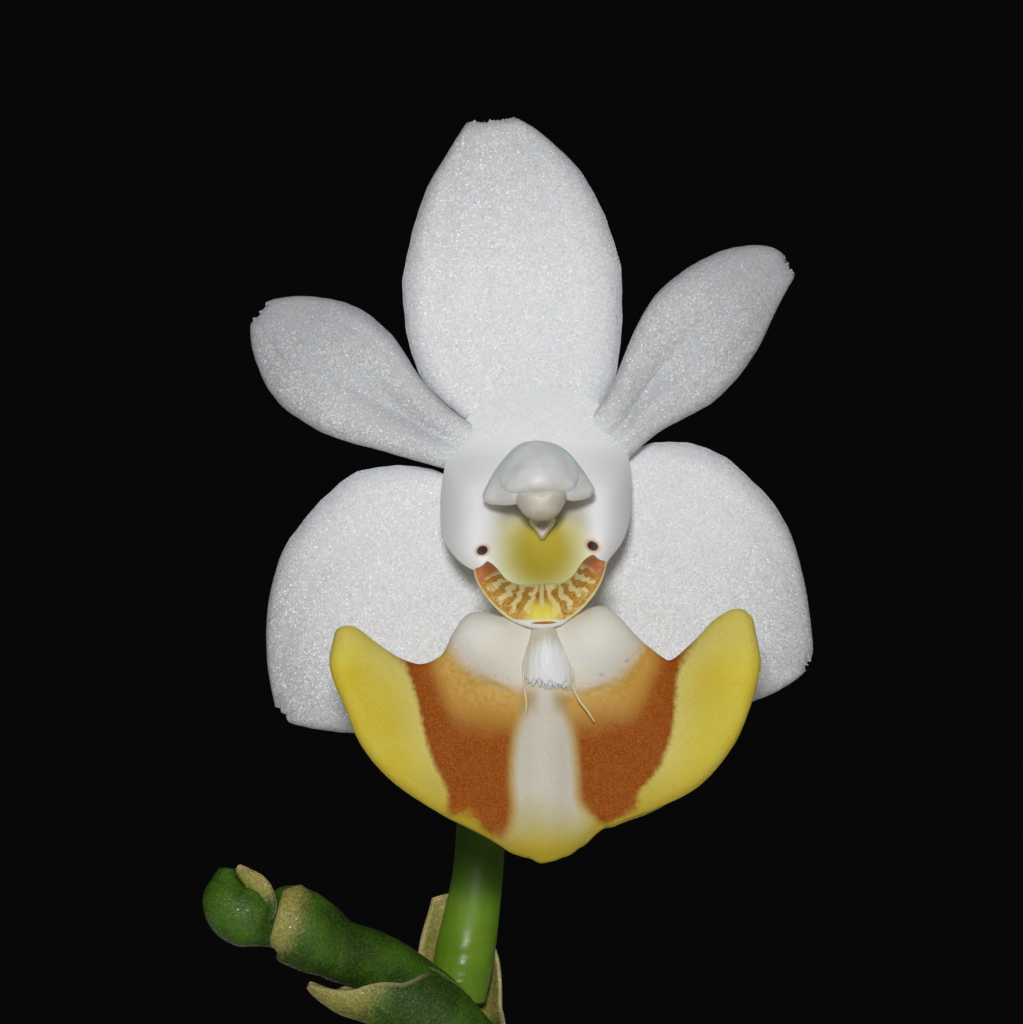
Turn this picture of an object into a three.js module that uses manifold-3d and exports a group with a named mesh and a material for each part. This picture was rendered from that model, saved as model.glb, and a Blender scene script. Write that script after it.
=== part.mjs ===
// A miniature moth orchid in a clay pot: five leaves, six roots, one flower spike with a single open flower.
// Millimetres, +Z up. The origin is the centre of the pot's underside, and the flower faces -Y.
import * as THREE from "three";
import { mergeVertices } from "three/addons/utils/BufferGeometryUtils.js";
import Module from "manifold-3d";

const wasm = await Module();
wasm.setup();

// Sizes that set the whole plant
const GAP = 0.3; // air between two pieces that touch on the real plant
const POT = { height: 56, baseRadius: 23, rimRadius: 32, bandHeight: 13, wall: 3.4, floor: 4, rounding: 0.8 };
const DRAIN = { radius: 3.2, ring: 13, count: 4, turn: 45 };
const MIX = { level: 48.9, crown: 0.8, wallGap: 0.4, chips: 24, reach: 24.5, seed: 7 };
const STEM = { bottom: 42, shoulder: 60, top: 70, radius: 4, topRadius: 3.1, rounding: 1 };
const FLOWER_AT = new THREE.Vector3(4, -22, 122); // the middle of the flower's face, just above its column
const SHEET = 0.6; // thickness of a sepal, a petal or a bract
const LIP = 0.7; // thickness of the lip's middle lobe
const LEAF = { thickness: 1.3, foot: 5.2, sheath: 4.6, wave: 0.5 };
const GOLDEN_TURN = 137.5; // degrees from each chip to the next, which spreads them evenly

// Each leaf: the way it points, its greatest half width, and its spine as [out from the stem's axis, up]
const LEAVES = [
  { turn: 190, half: 14.5, spine: [[5.3, 54], [6.8, 58.8], [14, 64], [28, 66.5], [44, 62.5], [58, 54]] },
  { turn: 7, half: 15.5, spine: [[5.3, 56], [6.8, 61.4], [14, 66.8], [30, 69.5], [47, 66], [62, 57.5]] },
  { turn: 166, half: 13.5, spine: [[5.2, 60], [6.4, 65], [12, 71.5], [24, 76.8], [38, 77], [50, 72.5]] },
  { turn: 340, half: 12.5, spine: [[5.1, 63.4], [6.2, 68], [11.6, 74.6], [23, 80.4], [35, 82], [46, 79]] },
  { turn: 96, half: 7.5, spine: [[0.2, 70.6], [1, 75.5], [4, 82.5], [9.5, 89], [16, 92.5]] },
];

// Each root: the way it points, how far it drifts sideways in degrees, its radius, and its line as [out, up]
const ROOTS = [
  { turn: 252, drift: -14, radius: 1.6, line: [[4.8, 50.4], [10, 52.2], [18, 54.8], [26, 58.3], [30.6, 59],
    [34.4, 56.4], [35.6, 48], [34.6, 39], [33.4, 32]] },
  { turn: 312, drift: 18, radius: 1.5, line: [[4.8, 50.4], [11, 53.2], [18, 53.6], [22.6, 50.6], [24.2, 45],
    [24, 39]] },
  { turn: 72, drift: 16, radius: 1.5, line: [[4.8, 50.4], [12, 53.2], [22, 57], [29.8, 59], [34, 57],
    [35.4, 50], [35.6, 43]] },
  { turn: 128, drift: -12, radius: 1.4, line: [[4.8, 50.2], [11, 52.8], [17, 53], [21.5, 49.6], [22.6, 43]] },
  { turn: 22, drift: 10, radius: 1.5, line: [[4.8, 50.4], [12, 53.4], [19.5, 53.6], [23.6, 50], [24.4, 44]] },
  { turn: 208, drift: 12, radius: 1.4, line: [[4.8, 50.2], [10, 52.8], [16, 54], [21.4, 52.4], [24, 47.5],
    [24.2, 41]] },
];
const ROOT_TIP = 0.55; // share of a root's radius left at its tip

// The flower, as it is seen from the front: [right, up] from FLOWER_AT. Each pair of lists holds the two
// edges of one sepal or petal, from its base to its tip, with a rung of the surface between like places.
const DORSAL_SEPAL = {
  left: [[-1.3, 1.7], [-2.1, 2.3], [-3.1, 3.1], [-3.7, 4.75], [-3.65, 6.5], [-3.2, 8.2], [-2.45, 9.5],
    [-1.87, 10.22]],
  right: [[1.05, 1.7], [1.5, 2.3], [1.95, 3.1], [2.25, 5.1], [2.05, 6.9], [1.35, 8.6], [0.2, 9.85],
    [-0.74, 10.35]],
};
const LEFT_PETAL = {
  left: [[-1.05, 1.6], [-1.9, 1.95], [-3.15, 3.1], [-3.7, 4.0], [-4.3, 4.78], [-5.2, 5.33], [-6.3, 5.53],
    [-7.4, 5.3]],
  right: [[-1.35, 0.75], [-2.45, 0.87], [-3.8, 1.25], [-5.2, 1.6], [-6.45, 2.15], [-7.3, 2.95], [-7.75, 3.95],
    [-7.75, 4.8]],
};
const RIGHT_PETAL = {
  left: [[1.1, 0.7], [2.25, 0.98], [2.95, 1.78], [4.1, 2.32], [5.1, 3.02], [5.88, 4.07], [6.38, 5.25],
    [6.82, 6.15]],
  right: [[0.75, 1.6], [1.55, 2.3], [2.22, 3.5], [2.74, 5.0], [3.73, 6.13], [4.85, 6.73], [6.0, 6.95],
    [6.62, 6.6]],
};
const LEFT_LATERAL_SEPAL = {
  left: [[-1.3, -1.5], [-1.25, -3.0], [-1.7, -4.3], [-2.7, -5.4], [-3.8, -6.1], [-4.85, -6.35], [-5.8, -6.25],
    [-6.8, -5.95]],
  right: [[-1.4, 0.0], [-2.4, 0.65], [-3.55, 0.95], [-4.95, 0.8], [-6.3, -0.35], [-7.2, -1.8], [-7.45, -3.6],
    [-7.1, -5.55]],
};
const RIGHT_LATERAL_SEPAL = {
  left: [[1.2, 0.0], [2.15, 1.0], [3.25, 1.6], [4.6, 1.42], [5.95, 0.42], [6.9, -1.0], [7.25, -2.7],
    [7.35, -4.3]],
  right: [[1.1, -1.5], [1.35, -2.85], [1.95, -4.05], [3.0, -5.1], [4.3, -5.6], [5.55, -5.6], [6.45, -5.2],
    [7.2, -4.55]],
};
// The lip's middle lobe runs from horn to horn, and its lists hold the lower and the upper edge.
const LIP_LOBE = {
  left: [[-5.35, -4.0], [-5.28, -4.7], [-5.0, -5.5], [-4.6, -6.5], [-3.9, -7.43], [-2.7, -8.35],
    [-1.45, -9.0], [-0.3, -9.58], [0.6, -9.58], [1.65, -8.87], [3.05, -8.31], [4.12, -7.62], [4.95, -6.62],
    [5.38, -5.62], [5.58, -4.7], [5.62, -3.95]],
  right: [[-5.3, -3.68], [-5.05, -3.6], [-4.65, -3.85], [-3.85, -4.33], [-3.15, -4.47], [-2.5, -4.12],
    [-1.85, -3.15], [-0.6, -3.5], [0.75, -3.45], [1.65, -2.98], [2.55, -3.77], [3.5, -4.35], [4.22, -3.88],
    [4.8, -3.3], [5.25, -3.12], [5.53, -3.45]],
};
const LIP_SIDE_LOBES = {
  left: [[-1.63, -1.9], [-1.65, -2.15], [-1.42, -2.55], [-1.1, -2.9], [-0.7, -3.2], [-0.25, -3.38],
    [0.3, -3.38], [0.75, -3.18], [1.2, -2.75], [1.48, -2.35], [1.64, -1.9]],
  right: [[-1.4, -1.78], [-1.2, -2.0], [-1.0, -2.2], [-0.75, -2.35], [-0.4, -2.42], [0.0, -2.4],
    [0.35, -2.4], [0.7, -2.32], [0.95, -2.12], [1.15, -1.9], [1.35, -1.65]],
};
const LIP_CALLUS = {
  left: [[-0.32, -3.2], [-0.43, -3.8], [-0.5, -4.4], [-0.5, -4.9]],
  right: [[0.58, -3.2], [0.75, -3.8], [0.85, -4.4], [0.86, -4.95]],
};
const LIP_CLAW = { at: [0.05, -4.05, -3.6], radii: [0.8, 0.6, 0.32] }; // the short neck behind the lip
// Round the face of the column and its foot, clockwise from the top
const COLUMN_FACE = [[-0.1, 2.15], [1.0, 1.95], [1.85, 1.4], [2.27, 0.65], [2.43, 0.0], [2.36, -0.64],
  [2.18, -1.17], [1.85, -1.6], [1.55, -2.0], [1.15, -2.5], [0.1, -3.0], [-0.95, -2.6], [-1.5, -2.05],
  [-2.1, -1.7], [-2.42, -1.36], [-2.6, -0.95], [-2.67, -0.4], [-2.6, 0.25], [-2.32, 1.0], [-1.55, 1.75]];
const COLUMN_WINGS = [[-0.15, 1.5], [0.6, 1.3], [1.0, 0.95], [1.48, 0.25], [1.2, 0.04], [0.6, -0.04],
  [-0.6, -0.14], [-1.2, -0.15], [-1.57, 0.08], [-1.1, 0.95], [-0.75, 1.3]];
const ANTHER_CAP = [[-0.12, 1.5], [0.32, 1.4], [0.68, 1.12], [0.93, 0.7], [0.93, 0.33], [0.5, 0.22],
  [-0.5, 0.2], [-0.97, 0.3], [-1.03, 0.7], [-0.85, 1.08], [-0.5, 1.4]];
const HOLLOW = { x: -0.05, z: -1.35 }; // the middle of the column's hollow
const RECEPTACLE = { x: -0.1, z: 0.5, radius: 0.9, front: -1.4, back: 1.4 };
const ANTHER_SEAT = -3.4; // the front of the column's wings, on which the cap sits

// The flower stalk: the bare stalk in the plant's frame, then the knotted end in the flower's, each
// as [x, y, z, radius]
const STALK_FOOT = [[0.6, -5.7, 53.4, 1.3], [0.5, -7.4, 61, 1.2], [-0.4, -10.2, 72, 1.1],
  [-0.5, -13.4, 84, 1.05], [0.7, -16.2, 95, 1.0]];
const STALK_END = [[-0.9, 3.6, -17.5, 1.05], [-1.5, 2.9, -15.9, 1.15], [-2.3, 1.9, -14.6, 1.0],
  [-3.1, 1.0, -13.55, 0.95], [-3.95, 0.3, -12.8, 0.85], [-5.1, -0.4, -12.1, 0.75],
  [-6.1, -0.9, -11.55, 0.82], [-7.0, -1.2, -11.3, 0.6], [-7.8, -1.4, -11.15, 0.82],
  [-8.3, -1.55, -10.7, 0.72], [-8.5, -1.6, -10.2, 0.35]];
const PEDICEL = [[-0.1, 1.75, 0.5, 0.8], [-0.1, 2.6, 0.4, 0.82], [-0.4, 3.8, -1.0, 0.85],
  [-1.0, 4.8, -3.8, 0.75], [-1.55, 5.0, -7, 0.64], [-1.75, 4.8, -10, 0.68], [-1.95, 4.6, -12.3, 0.8],
  [-1.85, 4.6, -13.3, 0.8], [-1.75, 4.6, -13.95, 0.68]];
// Bracts, from foot to tip: two on the bare stalk in the plant's frame, three on its end in the flower's
const LOW_BRACTS = [
  { points: [[-0.6, -9.4, 68], [-0.6, -11.9, 71.5], [-1.0, -13.4, 75.2]], side: [1, 0, 0],
    width: 1.9, fold: 1.15 },
  { points: [[0.6, -13.6, 88.4], [0.7, -13.5, 91.8], [0.9, -14.2, 95.2]], side: [-1, 0, 0],
    width: 1.7, fold: 1.1 },
];
const END_BRACTS = [
  { points: [[-1.4, 3.9, -16.3], [-1.9, 5.9, -15.3], [-2.1, 6.4, -13.4], [-2.55, 6.1, -11.6]],
    side: [-1, 0.1, 0], width: 1.15, fold: 1.2 },
  { points: [[-3.3, 0.9, -14.1], [-4.3, 0.3, -14.2], [-5.3, -0.3, -13.6], [-6.4, -0.9, -13.05]],
    side: [0.3, 1, 0.2], width: 0.95, fold: 1.2 },
  { points: [[-6.2, -0.9, -12.1], [-6.75, -1.2, -12.1], [-7.05, -1.3, -11.3], [-7.0, -1.2, -10.3]],
    side: [0.2, 1, 0.1], width: 0.9, fold: 1.2 },
];

const material = (color, roughness) => new THREE.MeshStandardMaterial({ color, roughness, metalness: 0 });
const CLAY = material(0xb8754e, 0.85);
const BARK = material(0x5b3a22, 0.9);
const LEAF_GREEN = material(0x3f6b2a, 0.4);
const STALK_GREEN = material(0x4c7a22, 0.45);
const ROOT_SILVER = material(0xa9b39a, 0.7);
const SEPAL_WHITE = material(0xe9eaec, 0.5);
const LIP_YELLOW = material(0xd9c23a, 0.5);
const COLUMN_WHITE = material(0xe6e4dc, 0.5);

const radians = THREE.MathUtils.degToRad;
const smoothstep = THREE.MathUtils.smoothstep;

// A smooth rise of 1 at (atX, atZ) that falls away over wideX and wideZ
function bump(x, z, atX, atZ, wideX, wideZ) {
  return Math.exp(-(((x - atX) / wideX) ** 2) - ((z - atZ) / wideZ) ** 2);
}

function curveThrough(points, closed = false) {
  return new THREE.CatmullRomCurve3(points, closed, "centripetal");
}

function geometryOf(points, faces) {
  const geometry = new THREE.BufferGeometry();
  const places = points.flatMap((p) => [p.x, p.y, p.z]);
  geometry.setAttribute("position", new THREE.Float32BufferAttribute(places, 3));
  geometry.setIndex(faces.flat());
  return geometry;
}

// A sheet of even thickness about the surface point(u, v), with its edges closed by a narrow rim.
function sheet(point, thickness, along, across) {
  const step = 1e-3;
  const front = [];
  const back = [];
  for (let i = 0; i <= along; i++)
    for (let j = 0; j <= across; j++) {
      const u = i / along;
      const v = j / across;
      const du = point(Math.min(u + step, 1), v).sub(point(Math.max(u - step, 0), v));
      const dv = point(u, Math.min(v + step, 1)).sub(point(u, Math.max(v - step, 0)));
      const normal = dv.cross(du).normalize().multiplyScalar(thickness / 2);
      front.push(point(u, v).add(normal));
      back.push(point(u, v).sub(normal));
    }
  const row = across + 1;
  const behind = front.length;
  const faces = [];
  const quad = (a, b, c, d) => faces.push([a, b, c], [a, c, d]);
  for (let i = 0; i < along; i++)
    for (let j = 0; j < across; j++) {
      const [a, b, c, d] = [i * row + j, i * row + j + 1, (i + 1) * row + j + 1, (i + 1) * row + j];
      quad(a, b, c, d);
      quad(a + behind, d + behind, c + behind, b + behind);
    }
  for (let i = 0; i < along; i++) {
    const [low, high] = [i * row, (i + 1) * row];
    quad(low, high, high + behind, low + behind);
    quad(high + across, low + across, low + across + behind, high + across + behind);
  }
  for (let j = 0; j < across; j++) {
    const end = along * row + j;
    quad(j + 1, j, j + behind, j + 1 + behind);
    quad(end, end + 1, end + 1 + behind, end + behind);
  }
  return geometryOf([...front, ...back], faces);
}

const inPlane = ([x, z]) => new THREE.Vector3(x, 0, z);

// The surface between two edges, which depth(u, v, x, z) moves back from the flower's plane.
function betweenEdges({ left, right }, depth) {
  const [a, b] = [left, right].map((edge) => curveThrough(edge.map(inPlane)));
  return (u, v) => {
    const p = a.getPoint(u).lerp(b.getPoint(u), v);
    p.y = depth(u, v, p.x, p.z);
    return p;
  };
}

// A sepal or petal: base is where it starts, lean how far its tip stands back, turnBack how far its sides
// do, and channel how deep its middle is near the base.
function tepal(edges, { base, lean, turnBack, channel = 0 }) {
  const [along, across] = [12, 6];
  const depth = (u, v) => {
    const side = 2 * v - 1;
    const reach = smoothstep(u, 0.1, 0.3) * (1 - smoothstep(u, 0.35, 0.8));
    const groove = channel * Math.exp(-((side / 0.35) ** 2)) * reach;
    return base + lean * u ** 1.6 + turnBack * side ** 2 * Math.sin(Math.PI * u) ** 2 + groove;
  };
  return sheet(betweenEdges(edges, depth), SHEET, along, across);
}

// A round-edged solid inside a closed outline. Its front and its back are given by depth(share of the way
// out, x, z).
function lens(outline, front, back, rings, spokes) {
  const curve = curveThrough(outline.map(inPlane), true);
  const rim = Array.from({ length: spokes }, (_, k) => curve.getPoint(k / spokes));
  const centre = rim.reduce((sum, p) => sum.add(p), new THREE.Vector3()).divideScalar(spokes);
  const points = [];
  const faces = [];
  for (const [depth, facing] of [[front, 1], [back, -1]]) {
    const first = points.length;
    points.push(new THREE.Vector3(centre.x, depth(0, centre.x, centre.z), centre.z));
    for (let i = 1; i <= rings; i++)
      for (const p of rim) {
        const at = centre.clone().lerp(p, i / rings);
        points.push(new THREE.Vector3(at.x, depth(i / rings, at.x, at.z), at.z));
      }
    const face = (a, b, c) => faces.push(facing > 0 ? [a, b, c] : [a, c, b]);
    for (let k = 0; k < spokes; k++) {
      const next = (k + 1) % spokes;
      face(first, first + 1 + next, first + 1 + k);
      for (let i = 1; i < rings; i++) {
        const [inner, outer] = [first + 1 + (i - 1) * spokes, first + 1 + i * spokes];
        face(inner + k, inner + next, outer + next);
        face(inner + k, outer + next, outer + k);
      }
    }
  }
  const frontRim = 1 + (rings - 1) * spokes;
  const backRim = frontRim + points.length / 2;
  for (let k = 0; k < spokes; k++) {
    const next = (k + 1) % spokes;
    faces.push([frontRim + k, frontRim + next, backRim + next], [frontRim + k, backRim + next, backRim + k]);
  }
  return geometryOf(points, faces);
}

// A stem or root through points of [x, y, z, radius].
function stem(points, sides, steps) {
  const line = curveThrough(points.map(([x, y, z]) => new THREE.Vector3(x, y, z)));
  const girth = curveThrough(points.map((p, i) => new THREE.Vector3(p[3], i, 0)));
  const rings = [];
  const across = new THREE.Vector3(1, 0.3, 0.1);
  for (let i = 0; i <= steps; i++) {
    const t = i / steps;
    const ahead = line.getTangent(t);
    across.addScaledVector(ahead, -across.dot(ahead)).normalize();
    const up = ahead.clone().cross(across);
    const radius = girth.getPoint(t).x;
    const centre = line.getPoint(t);
    for (let k = 0; k < sides; k++) {
      const angle = (2 * Math.PI * k) / sides;
      const out = centre.clone().addScaledVector(across, radius * Math.cos(angle));
      rings.push(out.addScaledVector(up, radius * Math.sin(angle)));
    }
  }
  const faces = [];
  for (let i = 0; i < steps; i++)
    for (let k = 0; k < sides; k++) {
      const next = (k + 1) % sides;
      const [a, b, c, d] = [i * sides + k, i * sides + next, (i + 1) * sides + next, (i + 1) * sides + k];
      faces.push([a, b, c], [a, c, d]);
    }
  const [start, end] = [rings.length, rings.length + 1];
  const last = steps * sides;
  for (let k = 0; k < sides; k++) {
    const next = (k + 1) % sides;
    faces.push([start, next, k], [end, last + k, last + next]);
  }
  return geometryOf([...rings, line.getPoint(0), line.getPoint(1)], faces);
}

// A leaf or bract: a spine of points, and along it a half width and the angle that each half folds up by.
function blade({ spine, side, halfWidth, fold, wave = 0 }) {
  const curve = curveThrough(spine);
  return (u, v) => {
    const ahead = curve.getTangent(u);
    const across = side.clone().addScaledVector(ahead, -side.dot(ahead)).normalize();
    const up = ahead.clone().cross(across);
    const s = 2 * v - 1;
    const [w, angle] = [halfWidth(u), fold(u)];
    const out = (w * Math.sin(angle * s)) / angle;
    const rise = (w * (1 - Math.cos(angle * s))) / angle + wave * s * s * Math.sin(9 * u + 2 * s);
    return curve.getPoint(u).addScaledVector(across, out).addScaledVector(up, rise);
  };
}

// Smooth values through [place, value] pairs.
function profile(pairs) {
  const curve = curveThrough(pairs.map(([t, value]) => new THREE.Vector3(t, value, 0)));
  return (t) => {
    let [low, high] = [0, 1];
    for (let n = 0; n < 20; n++) {
      const middle = (low + high) / 2;
      if (curve.getPoint(middle).x < t) low = middle;
      else high = middle;
    }
    return curve.getPoint(low).y;
  };
}

// Solids for cutting and joining
function solid(geometry) {
  const bare = new THREE.BufferGeometry().setAttribute("position", geometry.getAttribute("position"));
  if (geometry.index) bare.setIndex(geometry.index);
  const merged = mergeVertices(bare, 1e-4);
  return new wasm.Manifold(new wasm.Mesh({
    numProp: 3,
    vertProperties: merged.attributes.position.array,
    triVerts: new Uint32Array(merged.index.array),
  }));
}

function geometryFrom(manifold) {
  const { numProp, vertProperties, triVerts } = manifold.getMesh();
  const points = [];
  for (let i = 0; i < vertProperties.length; i += numProp)
    points.push(vertProperties[i], vertProperties[i + 1], vertProperties[i + 2]);
  const geometry = new THREE.BufferGeometry();
  geometry.setAttribute("position", new THREE.Float32BufferAttribute(points, 3));
  geometry.setIndex([...triVerts]);
  return geometry;
}

const joined = (geometries) => geometryFrom(geometries.map(solid).reduce((sum, part) => sum.add(part)));
const largest = (manifold) => manifold.decompose().sort((a, b) => b.volume() - a.volume())[0];

function ball(x, y, z, [rx, ry, rz], detail = 14) {
  return new THREE.SphereGeometry(1, detail, Math.round(detail * 0.6)).scale(rx, ry, rz).translate(x, y, z);
}

// Turned shapes stand on +Z.
function turned(profilePoints, segments) {
  const points = profilePoints.map(([r, z]) => new THREE.Vector2(r, z));
  return new THREE.LatheGeometry(points, segments).rotateX(Math.PI / 2);
}

// A round rod standing on +Z
function rod(radius, length, segments) {
  return new THREE.CylinderGeometry(radius, radius, length, segments).rotateX(Math.PI / 2);
}

// The inside of the pot tapers from rim to floor.
function innerRadius(z) {
  const share = (z - POT.floor) / (POT.height - POT.floor);
  const rimInside = POT.rimRadius - POT.wall - 0.6;
  return THREE.MathUtils.lerp(POT.baseRadius - POT.wall, rimInside, share);
}

// The outside of the pot from its foot up to the band, over the rim, and down the inside to the floor
function potProfile() {
  const { height, baseRadius, rimRadius, bandHeight, floor, rounding, wall } = POT;
  const bandFoot = height - bandHeight;
  const foot = [[0, 0], [baseRadius - rounding, 0], [baseRadius, rounding]];
  const band = [[innerRadius(bandFoot) + wall, bandFoot - 0.6], [rimRadius - 1.4, bandFoot + 0.4]];
  const rim = [[rimRadius - 0.2, height - 1.4], [rimRadius - 0.9, height], [rimRadius - 3, height + 0.3]];
  const lip = [[innerRadius(height) + 0.3, height - 0.4], [innerRadius(height - 2), height - 2]];
  return [...foot, ...band, ...rim, ...lip, [innerRadius(floor), floor], [0, floor]];
}

function potGeometry() {
  let pot = solid(turned(potProfile(), 40));
  for (let k = 0; k < DRAIN.count; k++) {
    const angle = radians(DRAIN.turn + (360 * k) / DRAIN.count);
    const hole = rod(DRAIN.radius, POT.floor * 3, 20);
    hole.translate(DRAIN.ring * Math.cos(angle), DRAIN.ring * Math.sin(angle), POT.floor / 2);
    pot = pot.subtract(solid(hole));
  }
  return geometryFrom(pot);
}

function rootPoints({ turn, drift, radius, line }) {
  return line.map(([out, up], i) => {
    const share = i / (line.length - 1);
    const angle = radians(turn + drift * share * share);
    const taper = share === 1 ? ROOT_TIP : 1;
    return [out * Math.cos(angle), out * Math.sin(angle), up, radius * taper];
  });
}

// The trough for a root is wider all round, with a ball of the same clearance at each end.
function rootTrough(root) {
  const points = rootPoints(root);
  const wide = points.map(([x, y, z, r]) => [x, y, z, r + GAP]);
  const ends = [points[0], points.at(-1)].map(([x, y, z, r]) => {
    const size = r + GAP + 0.1;
    return ball(x, y, z, [size, size, size], 8);
  });
  return [stem(wide, 8, 3 * root.line.length), ...ends];
}

function barkChips() {
  const random = THREE.MathUtils.seededRandom;
  random(MIX.seed);
  return Array.from({ length: MIX.chips }, (_, k) => {
    const out = MIX.reach * Math.sqrt((k + 0.5) / MIX.chips);
    const angle = k * radians(GOLDEN_TURN);
    const chip = new THREE.BoxGeometry(7 + 5 * random(), 5.5 + 3 * random(), 2.8 + 1.2 * random());
    chip.rotateX(0.5 * (random() - 0.5)).rotateY(0.5 * (random() - 0.5)).rotateZ(2 * Math.PI * random());
    return chip.translate(out * Math.cos(angle), out * Math.sin(angle), MIX.level + 0.8 * random());
  });
}

// Bark chips piled over a full pot, with a plain hole for the stem and a trough for each root.
function mixGeometry() {
  const { level, crown } = MIX;
  const clear = (z) => innerRadius(z) - MIX.wallGap;
  const bottom = POT.floor + GAP;
  const fill = turned([[0, bottom], [clear(bottom), bottom], [clear(level), level], [0, level + crown]], 40);
  const top = POT.height;
  const insidePot = turned([[0, bottom], [clear(bottom), bottom], [clear(top), top], [0, top]], 40);
  const heap = barkChips().map(solid).reduce((sum, chip) => sum.add(chip), solid(fill));
  const hole = rod(STEM.radius + GAP, top, 24).translate(0, 0, STEM.bottom - GAP + top / 2);
  let mix = heap.intersect(solid(insidePot)).subtract(solid(hole));
  for (const trough of ROOTS.flatMap(rootTrough)) mix = mix.subtract(solid(trough));
  return geometryFrom(largest(mix));
}

function stemGeometry() {
  const { bottom, shoulder, top, radius, topRadius, rounding } = STEM;
  const foot = [[0, bottom], [radius - rounding, bottom], [radius, bottom + rounding]];
  const head = [[topRadius, top - rounding], [topRadius - rounding, top], [0, top]];
  return turned([...foot, [radius, shoulder], ...head], 20);
}

function leafGeometry({ turn, half, spine }) {
  const angle = radians(turn);
  const widths = profile([[0, LEAF.foot], [0.1, LEAF.sheath], [0.2, 0.42 * half], [0.36, 0.8 * half],
    [0.55, half], [0.72, 0.95 * half], [0.86, 0.7 * half], [0.96, 0.32 * half], [1, 0.08 * half]]);
  const sheath = (u) => (half < 10 && u < 0.3 ? 3.4 + 8 * u : half); // the youngest leaf's foot is slim
  return sheet(blade({
    spine: spine.map(([out, up]) => new THREE.Vector3(out * Math.cos(angle), out * Math.sin(angle), up)),
    side: new THREE.Vector3(-Math.sin(angle), Math.cos(angle), 0),
    halfWidth: (u) => Math.min(widths(u), sheath(u)),
    fold: (u) => 0.16 + 0.86 * (1 - smoothstep(u, 0.04, 0.42)),
    wave: LEAF.wave,
  }), LEAF.thickness, 14, 8);
}

// A bract clasps the stalk, as wide as width at its widest.
function bractGeometry({ points, side, width, fold }) {
  return sheet(blade({
    spine: points.map(([x, y, z]) => new THREE.Vector3(x, y, z)),
    side: new THREE.Vector3(...side),
    halfWidth: (u) => width * (0.25 + 0.75 * Math.sin(Math.PI * (0.18 + 0.76 * u)) ** 0.8),
    fold: (u) => fold * (1 - 0.5 * u),
  }), SHEET, 7, 6);
}

function stalkGeometry() {
  const { x: right, y: forward, z: up } = FLOWER_AT;
  const fromFlower = ([x, y, z, ...rest]) => [x + right, y + forward, z + up, ...rest];
  const endBracts = END_BRACTS.map((bract) => ({ ...bract, points: bract.points.map(fromFlower) }));
  return joined([
    stem([...STALK_FOOT, ...STALK_END.map(fromFlower)], 8, 48),
    ...[...LOW_BRACTS, ...endBracts].map(bractGeometry),
  ]);
}

// How far forward the lip's middle lobe stands: two humps, a hollow in each side, the horns and the keel
function lobeDepth(u, v, x, z) {
  const out = Math.abs(x - 0.1);
  const hump = 0.85 * bump(out, z, 1.45, -3.65, 0.8, 0.75);
  const hollow = 0.55 * bump(out, z, 2.3, -6.2, 1.3, 1.8);
  const horn = 0.9 * smoothstep(out, 3.2, 5.6) * smoothstep(z, -8.5, -4);
  const keel = 0.3 * bump(out, z, 0, -7, 0.5, 2.2);
  return -4.5 - hump + hollow - horn - keel - 0.3 * smoothstep(-z, 7.5, 9.5);
}

function lipGeometry() {
  const sideDepth = (u, v) => -4.98 + 0.58 * v;
  const callusDepth = (u) => -4.85 - u;
  return joined([
    sheet(betweenEdges(LIP_LOBE, lobeDepth), LIP, 22, 8),
    sheet(betweenEdges(LIP_SIDE_LOBES, sideDepth), SHEET, 14, 3),
    sheet(betweenEdges(LIP_CALLUS, callusDepth), SHEET, 5, 4),
    ball(...LIP_CLAW.at, LIP_CLAW.radii, 10),
  ]);
}

// The cup of the column comes forward towards its foot, with a round cheek at each side of the hollow.
function columnFace() {
  const lift = (z) => smoothstep(-z, -0.3, 3.0);
  const front = (r, x, z) => {
    const cheeks = 1.1 * (bump(x, z, -1.75, -0.2, 0.85, 0.95) + bump(x, z, 1.6, -0.2, 0.85, 0.95));
    const cavity = 1.3 * bump(x, z, HOLLOW.x, HOLLOW.z, 0.95, 1.05);
    return -1.55 - 2.7 * lift(z) - cheeks + cavity + 0.3 * r ** 6;
  };
  const behind = (r, x, z) => -0.97 - 1.5 * lift(z) * r ** 2;
  return lens(COLUMN_FACE, front, behind, 6, 28);
}

function columnGeometry() {
  const { x, z, radius, front, back } = RECEPTACLE;
  const notch = new THREE.ConeGeometry(0.38, 0.9, 8).rotateX(Math.PI);
  return joined([
    columnFace(),
    new THREE.CylinderGeometry(radius, radius, back - front, 16).translate(x, (back + front) / 2, z),
    ball(0, -2.3, 0.5, [1.0, 1.1, 0.85]),
    lens(COLUMN_WINGS, () => ANTHER_SEAT, () => ANTHER_SEAT + 0.65, 2, 24),
    ball(0.05, -3.3, -0.35, [0.6, 0.6, 0.45]),
    notch.translate(0.07, -3.2, -0.7),
  ]);
}

function antherCapGeometry() {
  const back = ANTHER_SEAT - GAP;
  const front = (r) => back - 0.15 - 0.95 * Math.sqrt(Math.max(0, 1 - r * r));
  return lens(ANTHER_CAP, front, () => back, 5, 24);
}

// The plant, piece by piece
const plant = new THREE.Group();
const flower = new THREE.Group();
flower.position.copy(FLOWER_AT);
plant.add(flower);

function place(parent, name, geometry, finish) {
  const mesh = new THREE.Mesh(geometry, finish);
  mesh.name = name;
  parent.add(mesh);
}

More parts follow.
